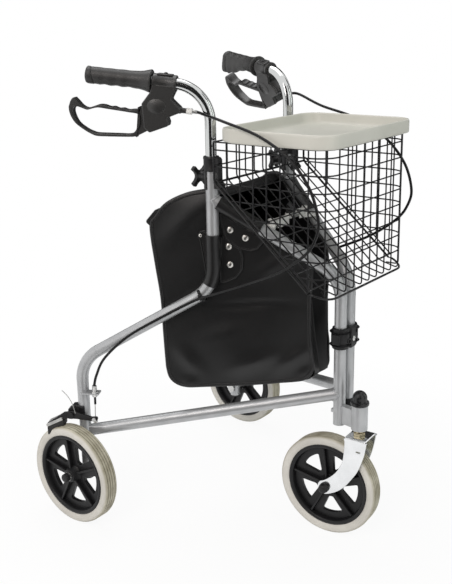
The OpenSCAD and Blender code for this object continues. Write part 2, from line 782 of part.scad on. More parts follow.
module tray_part() {
    x0 = tray_front - tray_len;
    place() translate([0, 0, tray_z]) difference() {
        linear_extrude(tray_h) rounded(x0, tray_front, tray_w / 2, 28);
        translate([0, 0, 3.2]) linear_extrude(tray_h) rounded(x0 + 4.5, tray_front - 4.5, tray_w / 2 - 4.5, 23.5);
    }
}

function unit(v) = v / norm(v);
function grip_point(r, h, turn, roll, lift) = let(
    y = h * sin(roll),
    k = h * cos(roll),
    x = -r * cos(grip_rise) + k * sin(grip_rise),
    z = r * sin(grip_rise) + k * cos(grip_rise)
) [x * cos(turn) + y * sin(turn) - upright_s, -x * sin(turn) + y * cos(turn), z + grip_z + lift];
function turned(p) = [p[0] * cos(splay) + p[1] * sin(splay) + 0, -p[0] * sin(splay) + p[1] * cos(splay), p[2]];
function to_side(p) = turned([p[0] - post_x, p[1] + post_y, p[2]]);
function spline(p, i, t) = let(
    a = p[max(i - 1, 0)],
    b = p[i],
    c = p[i + 1],
    d = p[min(i + 2, len(p) - 1)]
) 0.5 * (2 * b + (c - a) * t + (2 * a - 5 * b + 4 * c - d) * t * t + (3 * b - a - 3 * c + d) * t * t * t);

// Cable route points ahead of the frame, in the shared axes before the origin shift, right side.
CABLE = [[279, -152, 761], [350, -154, 742], [410, -157, 710], [449, -160, 667], [465, -161, 622],
    [461, -160, 592], [440, -158, 561], [389, -153, 524], [324, -149, 493], [244, -147, 459]];

module cable(turn, roll, lift) {
    a = grip_point(25.6, -43.2, turn, roll, lift);
    b = grip_point(15, -43.6, turn, roll, lift) + [0, -2.2, 0];
    c = grip_point(4, -44.5, turn, roll, lift) + [0, -12, 0];
    tail = [[-upright_s - 34, -15.4, 441], [-upright_s - 100, -15.4, 405], [-upright_s - 160, -15.4, 368],
        [-upright_s - 205, -15, 325], [-side_len + 32, -13, 290], [-side_len + 26, -12, 268 + 2.2 * part_gap]];
    route = concat([a, b, c], [for (p = CABLE) to_side(p)], tail);
    last = len(route) - 1;
    path = concat([for (i = [0 : last - 1]) for (t = [0, 0.33, 0.67]) spline(route, i, t)], [route[last]]);
    sheath = [for (p = path) 2.5];
    wire_path = [route[last] - [0, 0, 0.1], [-side_len + 26, -12, 240], [-side_len + 26, -17, 208 + part_gap]];
    pts = concat(path, wire_path);
    rad = concat(sheath, [1, 1, 1]);
    n = len(pts);
    sides = 8;
    rings = [for (i = [0 : n - 1]) let(
        t = unit(pts[min(i + 1, n - 1)] - pts[max(i - 1, 0)]),
        u = unit(cross(t, [0, 1, 0])),
        v = cross(u, t)
    ) for (k = [0 : sides - 1]) pts[i] + rad[i] * (cos(k * 45) * u + sin(k * 45) * v)];
    walls = [for (i = [0 : n - 2]) for (k = [0 : sides - 1]) [i * sides + k, i * sides + (k + 1) % sides,
        (i + 1) * sides + (k + 1) % sides, (i + 1) * sides + k]];
    polyhedron(rings, concat([[for (k = [0 : sides - 1]) sides - 1 - k]], walls,
        [[for (k = [0 : sides - 1]) (n - 1) * sides + k]]), 6);
}

module right_bow() color("silver") right_side() bow(post_foot);
module left_bow() color("silver") left_side() bow(left_foot);
module right_spine() color("silver") right_side() spine();
module left_spine() color("silver") left_side() spine();
module right_lower_tube() color("silver") right_side() lower_tube();
module left_lower_tube() color("silver") left_side() lower_tube();
module right_collar() color("dimgray") right_side() collar();
module left_collar() color("dimgray") left_side() collar();
module right_axle() color("lightgray") right_side() axle();
module left_axle() color("lightgray") left_side() axle();
module right_brake_bracket() color("dimgray") right_side() brake_bracket();
module left_brake_bracket() color("dimgray") left_side() brake_bracket();
module right_cable() color("black") right_side() cable(0, 0, 0);
module left_cable() color("black") left_side() cable(left_turn, left_roll, left_lift);
module right_bag_panel() color("darkslategray") right_side() bag_panel();
module left_bag_panel() color("darkslategray") left_side() bag_panel();
module right_bag_studs() color("white") right_side() bag_studs();
module left_bag_studs() color("white") left_side() bag_studs();
module right_brace_post() color("white") right_side() brace_post(0);
module left_brace_post() color("white") left_side() brace_post(1);
module caster_housing() color("silver") caster_housing_part();
module caster_cap() color("black") caster_cap_part();
module hinge_clamp() color("black") hinge_clamp_part();
module hinge_bush() color("black") hinge_bush_part();
module bag_gusset() color("darkslategray") bag_gusset_part();
module right_handle_tube() color("white") right_side() handle_tube(0, 0);
module left_handle_tube() color("white") left_side() handle_tube(left_turn, left_lift);
module right_grip() color("black") right_side() grip(0, 0, -4);
module left_grip() color("black") left_side() grip(left_turn, left_lift, left_palm);
module right_brake_housing() color("dimgray") right_side() brake_housing(0, 0, 0);
module left_brake_housing() color("dimgray") left_side() brake_housing(left_turn, left_roll, left_lift);
module right_lever() color("gray") right_side() lever(0, 0, 0);
module left_lever() color("gray") left_side() lever(left_turn, left_roll, left_lift);
module right_knob() color("black") right_side() knob();
module left_knob() color("black") left_side() knob();
module right_brake_arm() color("gray") right_side() brake_arm();
module left_brake_arm() color("gray") left_side() brake_arm();
module right_brake_pad() color("black") right_side() brake_pad();
module left_brake_pad() color("black") left_side() brake_pad();
module right_rim() color("black") at_right_wheel() rim(5 + slip, hub_half);
module left_rim() color("black") at_left_wheel() rim(5 + slip, hub_half);
module right_tyre() color("tan") at_right_wheel() tyre();
module left_tyre() color("tan") at_left_wheel() tyre();
module caster_fork() color("white") fork();
module front_axle() color("gray") front_axle_part();
module front_rim() color("black") at_front_wheel() rim(4 + slip, fork_in - 3 - part_gap);
module front_tyre() color("tan") at_front_wheel() tyre();
module right_brace() color("white") brace_bar(0);
module left_brace() color("white") mirror([0, 1, 0]) brace_bar(1);
module brace_lever() color("black") brace_lever_part();
module basket_front_wall() color("black") basket_front_part();
module basket_right_wall() color("black") basket_side();
module basket_left_wall() color("black") mirror([0, 1, 0]) basket_side();
module basket_rear_wall() color("black") basket_rear_part();
module basket_slope() color("black") basket_slope_part();
module basket_floor() color("black") basket_floor_part();
module tray() color("beige") tray_part();

right_bow();
right_spine();
right_lower_tube();
right_collar();
right_axle();
right_brake_bracket();
right_cable();
right_bag_panel();
right_bag_studs();
right_brace_post();
left_bow();
left_spine();
left_lower_tube();
left_collar();
left_axle();
left_brake_bracket();
left_cable();
left_bag_panel();
left_bag_studs();
left_brace_post();
caster_housing();
caster_cap();
hinge_clamp();
hinge_bush();
bag_gusset();
right_handle_tube();
right_grip();
right_brake_housing();
right_lever();
right_knob();
left_handle_tube();
left_grip();
left_brake_housing();
left_lever();
left_knob();
right_brake_arm();
right_brake_pad();
left_brake_arm();
left_brake_pad();
right_rim();
right_tyre();
left_rim();
left_tyre();
caster_fork();
front_axle();
front_rim();
front_tyre();
right_brace();
left_brace();
brace_lever();
basket_front_wall();
basket_right_wall();
basket_left_wall();
basket_rear_wall();
basket_slope();
basket_floor();
tray();
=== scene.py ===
# Three wheel rollator, dressed on its imported solids: silver tube sides, chrome handles with loop brakes,
# a vinyl bag, a coated wire basket and a pale tray.
import math

import bmesh
import bpy
import numpy as np
from mathutils import Matrix, Vector
from mathutils.geometry import delaunay_2d_cdt, tessellate_polygon


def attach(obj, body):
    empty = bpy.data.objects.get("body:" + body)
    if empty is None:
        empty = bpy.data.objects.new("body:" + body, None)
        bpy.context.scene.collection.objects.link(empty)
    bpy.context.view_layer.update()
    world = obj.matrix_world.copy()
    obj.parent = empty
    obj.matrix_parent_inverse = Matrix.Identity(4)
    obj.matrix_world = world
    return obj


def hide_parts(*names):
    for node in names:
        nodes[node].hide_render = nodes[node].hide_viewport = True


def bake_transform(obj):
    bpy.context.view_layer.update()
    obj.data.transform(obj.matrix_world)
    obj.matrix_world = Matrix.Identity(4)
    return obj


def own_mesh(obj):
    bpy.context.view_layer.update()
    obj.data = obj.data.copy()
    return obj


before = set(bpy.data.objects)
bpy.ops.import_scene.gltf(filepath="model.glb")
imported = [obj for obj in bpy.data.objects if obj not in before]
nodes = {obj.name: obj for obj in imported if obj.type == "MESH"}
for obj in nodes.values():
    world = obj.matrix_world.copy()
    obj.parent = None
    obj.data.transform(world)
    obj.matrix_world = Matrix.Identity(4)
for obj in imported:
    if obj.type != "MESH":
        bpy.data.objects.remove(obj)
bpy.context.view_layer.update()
scene = bpy.context.scene
scene.view_settings.view_transform = "Standard"


# Camera: stands ahead of the walker on its right, a little above the grips, and looks down at it.
# Its place and lens were solved from the wheels, tubes and grips; the picture is 452 by 584.
IMAGE_WIDE, IMAGE_HIGH = 452, 584
FOCAL_PX = 920.05
CENTRE_PX = (227.85, 275.87)
SENSOR = 36
YAW, PITCH, ROLL = (math.radians(a) for a in (127.203, -15.954, -1.035))

ahead = Vector((math.cos(PITCH) * math.cos(YAW), math.cos(PITCH) * math.sin(YAW), math.sin(PITCH)))
level = Vector((math.sin(YAW), -math.cos(YAW), 0))
plumb = level.cross(ahead)
across = level * math.cos(ROLL) + plumb * math.sin(ROLL)
upward = plumb * math.cos(ROLL) - level * math.sin(ROLL)
lens = bpy.data.cameras.new("camera")
lens.sensor_width = SENSOR
lens.lens = FOCAL_PX * SENSOR / IMAGE_HIGH
lens.shift_x = (IMAGE_WIDE / 2 - CENTRE_PX[0]) / IMAGE_HIGH
lens.shift_y = (CENTRE_PX[1] - IMAGE_HIGH / 2) / IMAGE_HIGH
lens.clip_end = 50
camera = bpy.data.objects.new("camera", lens)
camera.matrix_world = Matrix((across, upward, -ahead)).transposed().to_4x4()
camera.location = (0.98670, -1.35507, 0.93211)
scene.collection.objects.link(camera)
scene.camera = camera


# Brake cables: a glossy black sheath from the adjuster under each grip, in a wide free loop ahead of the
# basket and back along the outside of the sloping tube to the stop on the leg. Tied once at the bend.
MM = Matrix.Scale(0.001, 4)
SPLAY_DEG = 27.9
SPLAY = math.radians(SPLAY_DEG)
RIGHT = Matrix.Translation((0.21656, -0.0144, 0)) @ Matrix.Rotation(SPLAY, 4, "Z") @ MM
MIRROR = Matrix.Diagonal((1, -1, 1, 1))
SIDES = {"right": RIGHT, "left": MIRROR @ RIGHT}
UPRIGHT, LEG, TUBE_R = 225, 480, 11.1
GRIP_SET = {"right": (0, 0, 0), "left": (7, 26, 7)}
GRIP_Z, GRIP_RISE, NOSE_Z = 812.5, 6.2, -43.2
CABLE_D = 5
CABLE_START = [(-25.6, NOSE_Z, 0), (-15, -43.5, -1.4), (-4, -44.5, -12)]
CABLE_AHEAD = [(71.4, -152, 761), (142.4, -154, 742), (202.4, -157, 710), (241.4, -160, 667), (257.4, -161, 622),
               (253.4, -160, 592), (232.4, -158, 561), (181.4, -153, 524), (116.4, -149, 493), (36.4, -147, 459)]
CABLE_TAIL = [(-259, -15.4, 441), (-325, -15.4, 405), (-385, -15.4, 368), (-430, -15, 325), (-448, -13, 290),
              (-454, -12, 268.9)]
BRAKE_WIRE = [(-454, -12, 268.3), (-454, -12.4, 250), (-454, -14, 228), (-454, -16.6, 207), (-454, -17.4, 200)]
WIRE_TAIL = [(-491, -22, 214), (-496, -21, 232), (-505, -19, 247), (-516, -18, 258)]


def shift(x, y, z):
    return Matrix.Translation((x, y, z))


def turn(axis, degrees):
    return Matrix.Rotation(math.radians(degrees), 4, axis)


def grip_axes(side, rolled=True):
    """Axes of a grip, which runs back along -x; the left handle is turned, rolled and lifted."""
    yaw, roll, lift = GRIP_SET[side]
    return (SIDES[side] @ shift(-UPRIGHT, 0, lift) @ turn("Z", -yaw) @ shift(0, 0, GRIP_Z) @ turn("Y", GRIP_RISE)
            @ turn("X", -roll if rolled else 0))


def placed(matrix, points):
    return [matrix @ Vector(p) for p in points]


def smooth_line(points, per=8, closed=False):
    p = [np.array(q, float) for q in points]
    n = len(p)
    line = []
    for i in range(n if closed else n - 1):
        ends = [(i + k) % n if closed else min(max(i + k, 0), n - 1) for k in (-1, 0, 1, 2)]
        a, b, c, d = (p[k] for k in ends)
        for t in np.linspace(0, 1, per, endpoint=False):
            line.append(0.5 * (2 * b + (c - a) * t + (2 * a - 5 * b + 4 * c - d) * t * t
                               + (3 * b - a - 3 * c + d) * t ** 3))
    return line if closed else line + [p[-1]]


def add_object(name, data):
    obj = bpy.data.objects.new(name, data)
    scene.collection.objects.link(obj)
    return obj


def path_object(name, paths, closed=False):
    curve = bpy.data.curves.new(name, "CURVE")
    curve.dimensions = "3D"
    for path in paths:
        line = curve.splines.new("POLY")
        line.points.add(len(path) - 1)
        line.points.foreach_set("co", [x for p in path for x in (*p, 1)])
        line.use_cyclic_u = closed
    return add_object(name, curve)


def tree_socket(tree, name, kind, way="INPUT"):
    return tree.interface.new_socket(name, in_out=way, socket_type="NodeSocket" + kind).identifier


def feed(tree, node, values):
    """Each named or numbered input of a node is linked from a socket or set to a value."""
    for key, value in values.items():
        if isinstance(value, bpy.types.NodeSocket):
            tree.links.new(value, node.inputs[key])
        else:
            node.inputs[key].default_value = value


def add_node(tree, kind, values=None, **settings):
    node = tree.nodes.new(kind)
    for key, value in settings.items():
        setattr(node, key, value)
    feed(tree, node, values or {})
    return node


def make_tube_tree():
    tree = bpy.data.node_groups.new("tube along a path", "GeometryNodeTree")
    ids = {n: tree_socket(tree, n, k) for n, k in (
        ("Path", "Geometry"), ("Radius", "Float"), ("Sides", "Int"), ("Surface", "Material"))}
    tree_socket(tree, "Tube", "Geometry", "OUTPUT")
    given = add_node(tree, "NodeGroupInput").outputs
    ring = add_node(tree, "GeometryNodeCurvePrimitiveCircle", {
        "Radius": given["Radius"], "Resolution": given["Sides"]})
    sweep = add_node(tree, "GeometryNodeCurveToMesh", {
        "Curve": given["Path"], "Profile Curve": ring.outputs["Curve"], "Fill Caps": True})
    real = add_node(tree, "GeometryNodeRealizeInstances", {"Geometry": sweep.outputs["Mesh"]})
    paint = add_node(tree, "GeometryNodeSetMaterial", {
        "Geometry": real.outputs["Geometry"], "Material": given["Surface"]})
    add_node(tree, "NodeGroupOutput", {"Tube": paint.outputs["Geometry"]})
    return tree, ids


def finish_mesh(mesh, crease=40):
    bm = bmesh.new()
    bm.from_mesh(mesh)
    bmesh.ops.remove_doubles(bm, verts=bm.verts, dist=2e-6)
    bmesh.ops.recalc_face_normals(bm, faces=bm.faces)
    bm.to_mesh(mesh)
    bm.free()
    mesh.shade_smooth()
    mesh.set_sharp_from_angle(angle=math.radians(crease))


def plain_mesh(obj):
    """The mesh of an object as its modifiers leave it."""
    obj.update_tag()
    bpy.context.view_layer.update()
    return bpy.data.meshes.new_from_object(obj.evaluated_get(bpy.context.evaluated_depsgraph_get()))


def grown(obj, tree, values, crease=50):
    """The plain mesh that a node tree grows on obj, with obj and its modifier gone."""
    name = obj.name
    modifier = obj.modifiers.new("grow", "NODES")
    modifier.node_group = tree
    for key, value in values.items():
        modifier[key] = value
    mesh = plain_mesh(obj)
    bpy.data.objects.remove(obj)
    finish_mesh(mesh, crease)
    mesh.name = name
    return add_object(name, mesh)


TUBE_TREE, TUBE_IN = make_tube_tree()


def tubes(name, paths, radius, surface, sides=12, closed=False):
    return grown(path_object(name, paths, closed), TUBE_TREE, {
        TUBE_IN["Radius"]: radius, TUBE_IN["Sides"]: sides, TUBE_IN["Surface"]: surface})


def shader_group(name, inputs, outputs):
    tree = bpy.data.node_groups.new(name, "ShaderNodeTree")
    for n, kind in inputs:
        tree_socket(tree, n, kind)
    for n, kind in outputs:
        tree_socket(tree, n, kind, "OUTPUT")
    return tree, add_node(tree, "NodeGroupInput").outputs, add_node(tree, "NodeGroupOutput")


def mix_colours(tree, factor, low, high):
    mix = add_node(tree, "ShaderNodeMix", {"Factor": factor}, data_type="RGBA")
    tones = [k for k, s in enumerate(mix.inputs) if s.type == "RGBA"]
    feed(tree, mix, dict(zip(tones, (low, high))))
    return [s for s in mix.outputs if s.type == "RGBA"][0]


def make_mottle():
    """Two tones of one colour in soft patches, and the patches as a mask."""
    tree, given, end = shader_group("mottle", [("Scale", "Float"), ("Low", "Color"), ("High", "Color")],
                                    [("Color", "Color"), ("Mask", "Float")])
    place = add_node(tree, "ShaderNodeTexCoord").outputs["Object"]
    noise = add_node(tree, "ShaderNodeTexNoise", {"Vector": place, "Scale": given["Scale"], "Detail": 5})
    spread = add_node(tree, "ShaderNodeMapRange", {
        "Value": noise.outputs["Fac"], "From Min": 0.32, "From Max": 0.68})
    mask = spread.outputs["Result"]
    feed(tree, end, {"Color": mix_colours(tree, mask, given["Low"], given["High"]), "Mask": mask})
    return tree


def make_grain():
    """Height of a moulded or embossed grain: fine noise, or rounded pebbles where Pebble is 1."""
    tree, given, end = shader_group("grain", [("Scale", "Float"), ("Pebble", "Float")], [("Height", "Float")])
    place = add_node(tree, "ShaderNodeTexCoord").outputs["Object"]
    noise = add_node(tree, "ShaderNodeTexNoise", {"Vector": place, "Scale": given["Scale"], "Detail": 3})
    cells = add_node(tree, "ShaderNodeTexVoronoi", {"Vector": place, "Scale": given["Scale"]}, feature="SMOOTH_F1")
    mix = add_node(tree, "ShaderNodeMix", {
        "Factor": given["Pebble"], "A": noise.outputs["Fac"], "B": cells.outputs["Distance"]})
    feed(tree, end, {"Height": mix.outputs["Result"]})
    return tree


MOTTLE = make_mottle()
GRAIN = make_grain()


def make_surface(name, low, high, rough, spread=0.08, metal=0.0, patch=22, grain=900, pebble=0.0, bump=0.15,
                 depth=0.0003, coat=0.0, spec=0.5):
    """A finish with patchy colour and gloss and a fine grain; low and high are its two tones."""
    surface = bpy.data.materials.new(name)
    surface.use_nodes = True
    tree = surface.node_tree
    mottle = add_node(tree, "ShaderNodeGroup", {"Scale": patch, "Low": (*low, 1), "High": (*high, 1)},
                      node_tree=MOTTLE, name="mottle")
    gloss = add_node(tree, "ShaderNodeMapRange", {
        "Value": mottle.outputs["Mask"], "To Min": rough + spread / 2, "To Max": rough - spread / 2})
    fine = add_node(tree, "ShaderNodeGroup", {"Scale": grain, "Pebble": pebble}, node_tree=GRAIN, name="grain")
    relief = add_node(tree, "ShaderNodeBump", {
        "Strength": bump, "Distance": depth, "Height": fine.outputs["Height"]}, name="relief")
    feed(tree, tree.nodes["Principled BSDF"], {
        "Base Color": mottle.outputs["Color"], "Roughness": gloss.outputs["Result"],
        "Normal": relief.outputs["Normal"], "Metallic": metal, "Specular IOR Level": spec,
        "Coat Weight": coat, "Coat Roughness": 0.12})
    return surface


SHEATH = make_surface("cable sheath", (0.004, 0.004, 0.0045), (0.008, 0.008, 0.0085), 0.26, grain=1500, bump=0.05,
                      spec=0.25)
BARE_WIRE = make_surface("bare wire", (0.42, 0.42, 0.41), (0.62, 0.62, 0.60), 0.34, metal=0.9, grain=2500,
                         bump=0.3)

for side, to_frame in SIDES.items():
    turned = to_frame.inverted() @ grip_axes(side)
    start = [turned @ Vector((back, 0, over)) + Vector((0, aside, 0)) for back, over, aside in CABLE_START]
    flip = MIRROR if side == "left" else Matrix()
    loop = [flip @ Vector([0.001 * c for c in p]) for p in CABLE_AHEAD]
    route = placed(to_frame, start) + loop + placed(to_frame, CABLE_TAIL)
    path = [tuple(p) for p in smooth_line(route, 8)]
    cable = tubes(side + "_brake_cable", [path], CABLE_D / 2000, SHEATH, 12)
    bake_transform(cable)
    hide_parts(side + "_cable")
    wire = tubes(side + "_brake_wire", [placed(to_frame, BRAKE_WIRE)], 0.0009, BARE_WIRE, 8)
    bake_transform(wire)
    tail = tubes(side + "_wire_tail", [placed(to_frame, smooth_line(WIRE_TAIL, 6))], 0.0007, BARE_WIRE, 8)
    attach(tail, side + "_brake_arm")


# Side frames: bent steel tube in silver grey paint, each side a front bow, a bent rear spine and a low tube.
# The low tubes are pinched where they meet the legs, and every joint is closed by a weld bead.
PAINT = make_surface("silver paint", (0.40, 0.41, 0.42), (0.47, 0.48, 0.49), 0.36, 0.06, metal=0.55, patch=40,
                     grain=2600, bump=0.08, depth=0.0002, coat=0.25)
BOW_FOOT_Z, BOW_RISE = 486.5, 136
LOW_REAR_Z, LOW_FRONT_Z = 170, 270
PINCH_LENGTH, PINCH_DEPTH, TUBE_WALL = 44, 5.5, 1.5


def dress(surface, *names):
    """Gives solids that stay as they are in the frame their finish."""
    for name in names:
        obj = nodes[name]
        if obj.material_slots:
            for held in obj.material_slots:
                held.material = surface
        else:
            obj.data.materials.append(surface)


def both(*names):
    return [f"{side}_{name}" for name in names for side in SIDES]


def loft(rings, closed=True, caps=True):
    """Skin over rings of equal counts; caps close the first and last ring."""
    n = len(rings[0])
    verts = [tuple(p) for ring in rings for p in ring]
    faces = []
    for k in range(len(rings) - 1):
        for i in range(n if closed else n - 1):
            j = (i + 1) % n
            faces.append((k * n + i, k * n + j, (k + 1) * n + j, (k + 1) * n + i))
    if caps:
        faces += [tuple(range(n)), tuple((len(rings) - 1) * n + i for i in range(n))]
    return verts, faces


def piece(name, shapes, surface, to_frame=Matrix(), crease=40):
    """One object from several shapes in the same axes, placed in the frame."""
    verts, faces = [], []
    for shape in shapes:
        faces += [tuple(i + len(verts) for i in f) for f in shape[1]]
        verts += [tuple(v) for v in shape[0]]
    mesh = bpy.data.meshes.new(name)
    mesh.from_pydata(verts, [], faces)
    mesh.transform(to_frame)
    finish_mesh(mesh, crease)
    mesh.materials.append(surface)
    return add_object(name, mesh)


def fit(obj, body, slot, *replaced):
    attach(obj, body)
    if replaced:
        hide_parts(*replaced)
    return obj


def add_piece(side, name, shapes, surface, axes, body, slot, *replaced, crease=40):
    """A new piece on its body; the side, where there is one, is put before each name."""
    name, body, *replaced = [f"{side}_{n}" if side else n for n in (name, body, *replaced)]
    return fit(piece(name, shapes, surface, axes, crease), body, slot, *replaced)


def whole_turn(n):
    return np.linspace(0, 2 * math.pi, n, endpoint=False)


def low_tube():
    """Rings along the low tube from the leg forward, the first stretch pressed flat on both sides."""
    run = Vector((LEG, 0, LOW_FRONT_Z - LOW_REAR_Z))
    along = run.normalized()
    over = Vector((-along.z, 0, along.x))
    rings = []
    stops = [0, 6, 14, 22, 30, 38, PINCH_LENGTH, 52, 120, 240, 360, run.length]
    for walls in (TUBE_R, TUBE_R - TUBE_WALL):
        for t in (stops if walls == TUBE_R else stops[::-1]):
            limit = walls - max(0, (PINCH_LENGTH - t) / PINCH_LENGTH) * PINCH_DEPTH
            ring = []
            for a in whole_turn(48):
                y = max(-limit, min(limit, walls * math.cos(a)))
                up = walls * math.sin(a)
                reach = 0.2 + math.sqrt(max(0, TUBE_R ** 2 - y * y))
                p = Vector((-LEG, y, LOW_REAR_Z)) + along * t + over * up
                if t in (stops[0], stops[-1]):
                    face = -LEG + reach if t == 0 else -reach
                    p += along * ((face - p.x) / along.x)
                ring.append(p)
            rings.append(ring)
    return loft(rings + rings[:1], caps=False)


def weld_line(foot, slope, meets, before):
    """Closed line where a sloping tube from foot meets the upright tube at distance meets."""
    along = Vector((-math.cos(slope), 0, math.sin(slope)))
    over = Vector((math.sin(slope), 0, math.cos(slope)))
    line = []
    for a in whole_turn(40):
        p = Vector((0, 0, foot)) + over * TUBE_R * math.sin(a) + Vector((0, TUBE_R * math.cos(a), 0))
        reach = 0.6 + math.sqrt(max(0, TUBE_R ** 2 - p.y * p.y))
        stop = -meets + reach * (1 if before else -1)
        line.append(p + along * ((stop - p.x) / along.x))
    return line


dress(PAINT, *both("bow", "spine"))
bow_slope = math.atan(BOW_RISE / UPRIGHT)
low_slope = math.atan((LOW_REAR_Z - LOW_FRONT_Z) / LEG)
for side, to_frame in SIDES.items():
    add_piece(side, "low_rail", [low_tube()], PAINT, to_frame, "frame", "frame_paint", "lower_tube")
    beads = [weld_line(BOW_FOOT_Z, bow_slope, UPRIGHT, True), weld_line(LOW_FRONT_Z, low_slope, 0, False)]
    weld = tubes(side + "_welds", [placed(to_frame, line) for line in beads], 0.0017, PAINT, 8, True)
    fit(weld, side + "_frame", "frame_paint")


# Front hinge: a moulded black clamp with pockets and lugs holds both posts, screwed together in front; the left
# post turns in it and on a bush below. The caster housing is welded to the right post, whose foot is plugged.
BLACK = make_surface("black moulding", (0.008, 0.008, 0.009), (0.014, 0.014, 0.015), 0.42, 0.1, grain=1400,
                     bump=0.22, spec=0.3)
ZINC = make_surface("zinc plate", (0.50, 0.50, 0.49), (0.66, 0.66, 0.65), 0.3, 0.12, metal=0.95, patch=60,
                    grain=1800)
DARK_PLUG = make_surface("tube plug", (0.01, 0.01, 0.01), (0.02, 0.02, 0.02), 0.6)
POST_X, POST_Y = 216.56, 14.4
CLAMP_Z, CLAMP_H = 358, 38
CLAMP_HALF = [(-12, -8), (-15.2, 0), (-13, 9), (-6, 14.5), (6, 14.5), (13, 9), (15.2, 0)]
POCKETS = [(-13, 15), (10, 28), (10, 10)]
PLATE_YAW, PLATE_HALF, PLATE_R = -9.9, 32, 11.6


def circle(r, n=48, x=0, y=0):
    return [(x + r * math.cos(k * 2 * math.pi / n), y + r * math.sin(k * 2 * math.pi / n)) for k in range(n)]


def round_corners(points, r, n=5):
    """The closed outline with each corner rounded to r, or less where its sides are short."""
    p = [Vector(q).to_2d() for q in points]
    line = []
    for i, b in enumerate(p):
        a, c = p[i - 1], p[(i + 1) % len(p)]
        u, v = (a - b), (c - b)
        half = u.angle(v) / 2
        cut = min(r / math.tan(half), 0.48 * u.length, 0.48 * v.length) if half < 1.5 else 0
        u.normalize(), v.normalize()
        for t in np.linspace(0, 1, n if cut else 1):
            line.append(tuple((b + u * cut) * (1 - t) ** 2 + b * 2 * t * (1 - t) + (b + v * cut) * t * t))
    return line


def twice_area(p):
    return np.sum(p[:, 0] * np.roll(p[:, 1], -1) - np.roll(p[:, 0], -1) * p[:, 1])


def slab(outline, low, high, bevel, holes=()):
    """Plate of an outline with holes, from low to high along z, with rounded edges."""
    loops = []
    for k, line in enumerate([outline, *holes]):
        p = np.array(line, float)
        loops.append(p if (twice_area(p) > 0) == (k == 0) else p[::-1])
    verts, faces = [], []
    caps = {low: [], high: []}
    for p in loops:
        n = len(p)
        d = np.roll(p, -1, 0) - p
        d /= np.linalg.norm(d, axis=1)[:, None]
        inward = np.stack([-d[:, 1], d[:, 0]], 1)
        miter = inward + np.roll(inward, 1, 0)
        miter /= np.maximum(0.35, (miter * inward).sum(1))[:, None]
        levels = [(bevel + 0.35, low)] + [(bevel * (1 - math.cos(a)), low + bevel * (1 - math.sin(a)))
                                          for a in np.linspace(math.pi / 2, 0, 4)]
        levels += [(inset, low + high - z) for inset, z in levels[::-1]]
        first = len(verts)
        for inset, z in levels:
            verts += [(x, y, z) for x, y in p + miter * inset]
        for k in range(len(levels) - 1):
            a, b = first + k * n, first + (k + 1) * n
            for i in range(n):
                j = (i + 1) % n
                faces.append((a + i, a + j, b + j, b + i))
        caps[low].append(range(first, first + n))
        caps[high].append(range(len(verts) - n, len(verts)))
    for rows in caps.values():
        flat = [i for row in rows for i in row]
        for tri in tessellate_polygon([[Vector((*verts[i][:2], 0)) for i in row] for row in rows]):
            faces.append(tuple(flat[i] for i in tri))
    return verts, faces


def lathe(profile, steps=64):
    """Solid turned about z from (radius, height) points; a closed profile is a ring."""
    rings = [[(r * math.cos(a), r * math.sin(a), z) for a in whole_turn(steps)] for r, z in profile]
    return loft(rings, caps=False)


def moved(shape, matrix):
    return [tuple(matrix @ Vector(v)) for v in shape[0]], shape[1]


def screw_head(r, h):
    """Domed head on z = 0."""
    return lathe([(0, h), (0.5 * r, 0.97 * h), (0.82 * r, 0.72 * h), (r, 0.3 * h), (r, 0), (0, 0)], 24)


def hexagon(r, h):
    return slab(circle(r, 6), 0, h, 0.6)


dress(PAINT, "caster_housing")
dress(BLACK, "hinge_bush")
clamp_line = [(x, -POST_Y - y) for x, y in CLAMP_HALF] + [(15, -9), (19, -8), (19, 8), (15, 9)]
clamp_line += [(x, POST_Y + y) for x, y in CLAMP_HALF[::-1]]
posts = [circle(TUBE_R + 0.05, 48, 0, y) for y in (-POST_Y, POST_Y)]
at_posts = MM @ shift(POST_X, 0, 0)
bands = [slab(round_corners(clamp_line, 5), CLAMP_Z, CLAMP_Z + CLAMP_H, 3, posts)]
for y in (-POST_Y, POST_Y):
    bands.append(slab(circle(TUBE_R + 5.6, 48, 0, y), CLAMP_Z + 7, CLAMP_Z + CLAMP_H - 7, 5,
                      [circle(TUBE_R + 3, 48, 0, y)]))
for y, z in POCKETS:
    cup = lathe([(3.2, -1), (3.2, 1.7), (3.8, 2.2), (4.7, 2.2), (5.2, 1.7), (5.2, -1), (3.2, -1)], 28)
    bands.append(moved(cup, shift(16.2, y, CLAMP_Z + z) @ turn("Y", 90)))
for way in (-1, 1):
    lug = round_corners([(-8, 24), (8, 24), (8, POST_Y + 18.4), (-8, POST_Y + 18.4)], 2)
    bands.append(slab([(x, way * y) for x, y in lug], CLAMP_Z + 9, CLAMP_Z + 28, 1.5))
add_piece("", "front_hinge_clamp", bands, BLACK, at_posts, "right_frame", "black_plastic", "hinge_clamp")
screw_axes = at_posts @ shift(19, 0, CLAMP_Z + CLAMP_H / 2 - 2) @ turn("Y", 90)
add_piece("", "clamp_screw", [screw_head(4.6, 1.6)], ZINC, screw_axes, "right_frame", "steel")
foot_plug = lathe([(0, 2), (9.4, 2), (9.5, 1), (9.5, 6), (0, 6)])
add_piece("", "post_plug", [foot_plug], DARK_PLUG, at_posts @ shift(0, -POST_Y, 211.5),
          "right_frame", "black_plastic")
plate_ends = [[MM @ Vector((POST_X + PLATE_R * math.cos(a), -POST_Y + PLATE_R * math.sin(a), z))
               for z in (217, 222, 228, 234, 240, 246, 249)]
              for a in (math.radians(PLATE_YAW + way * PLATE_HALF) for way in (1, -1))]
fit(tubes("housing_welds", plate_ends, 0.0018, PAINT, 8), "right_frame", "frame_paint")


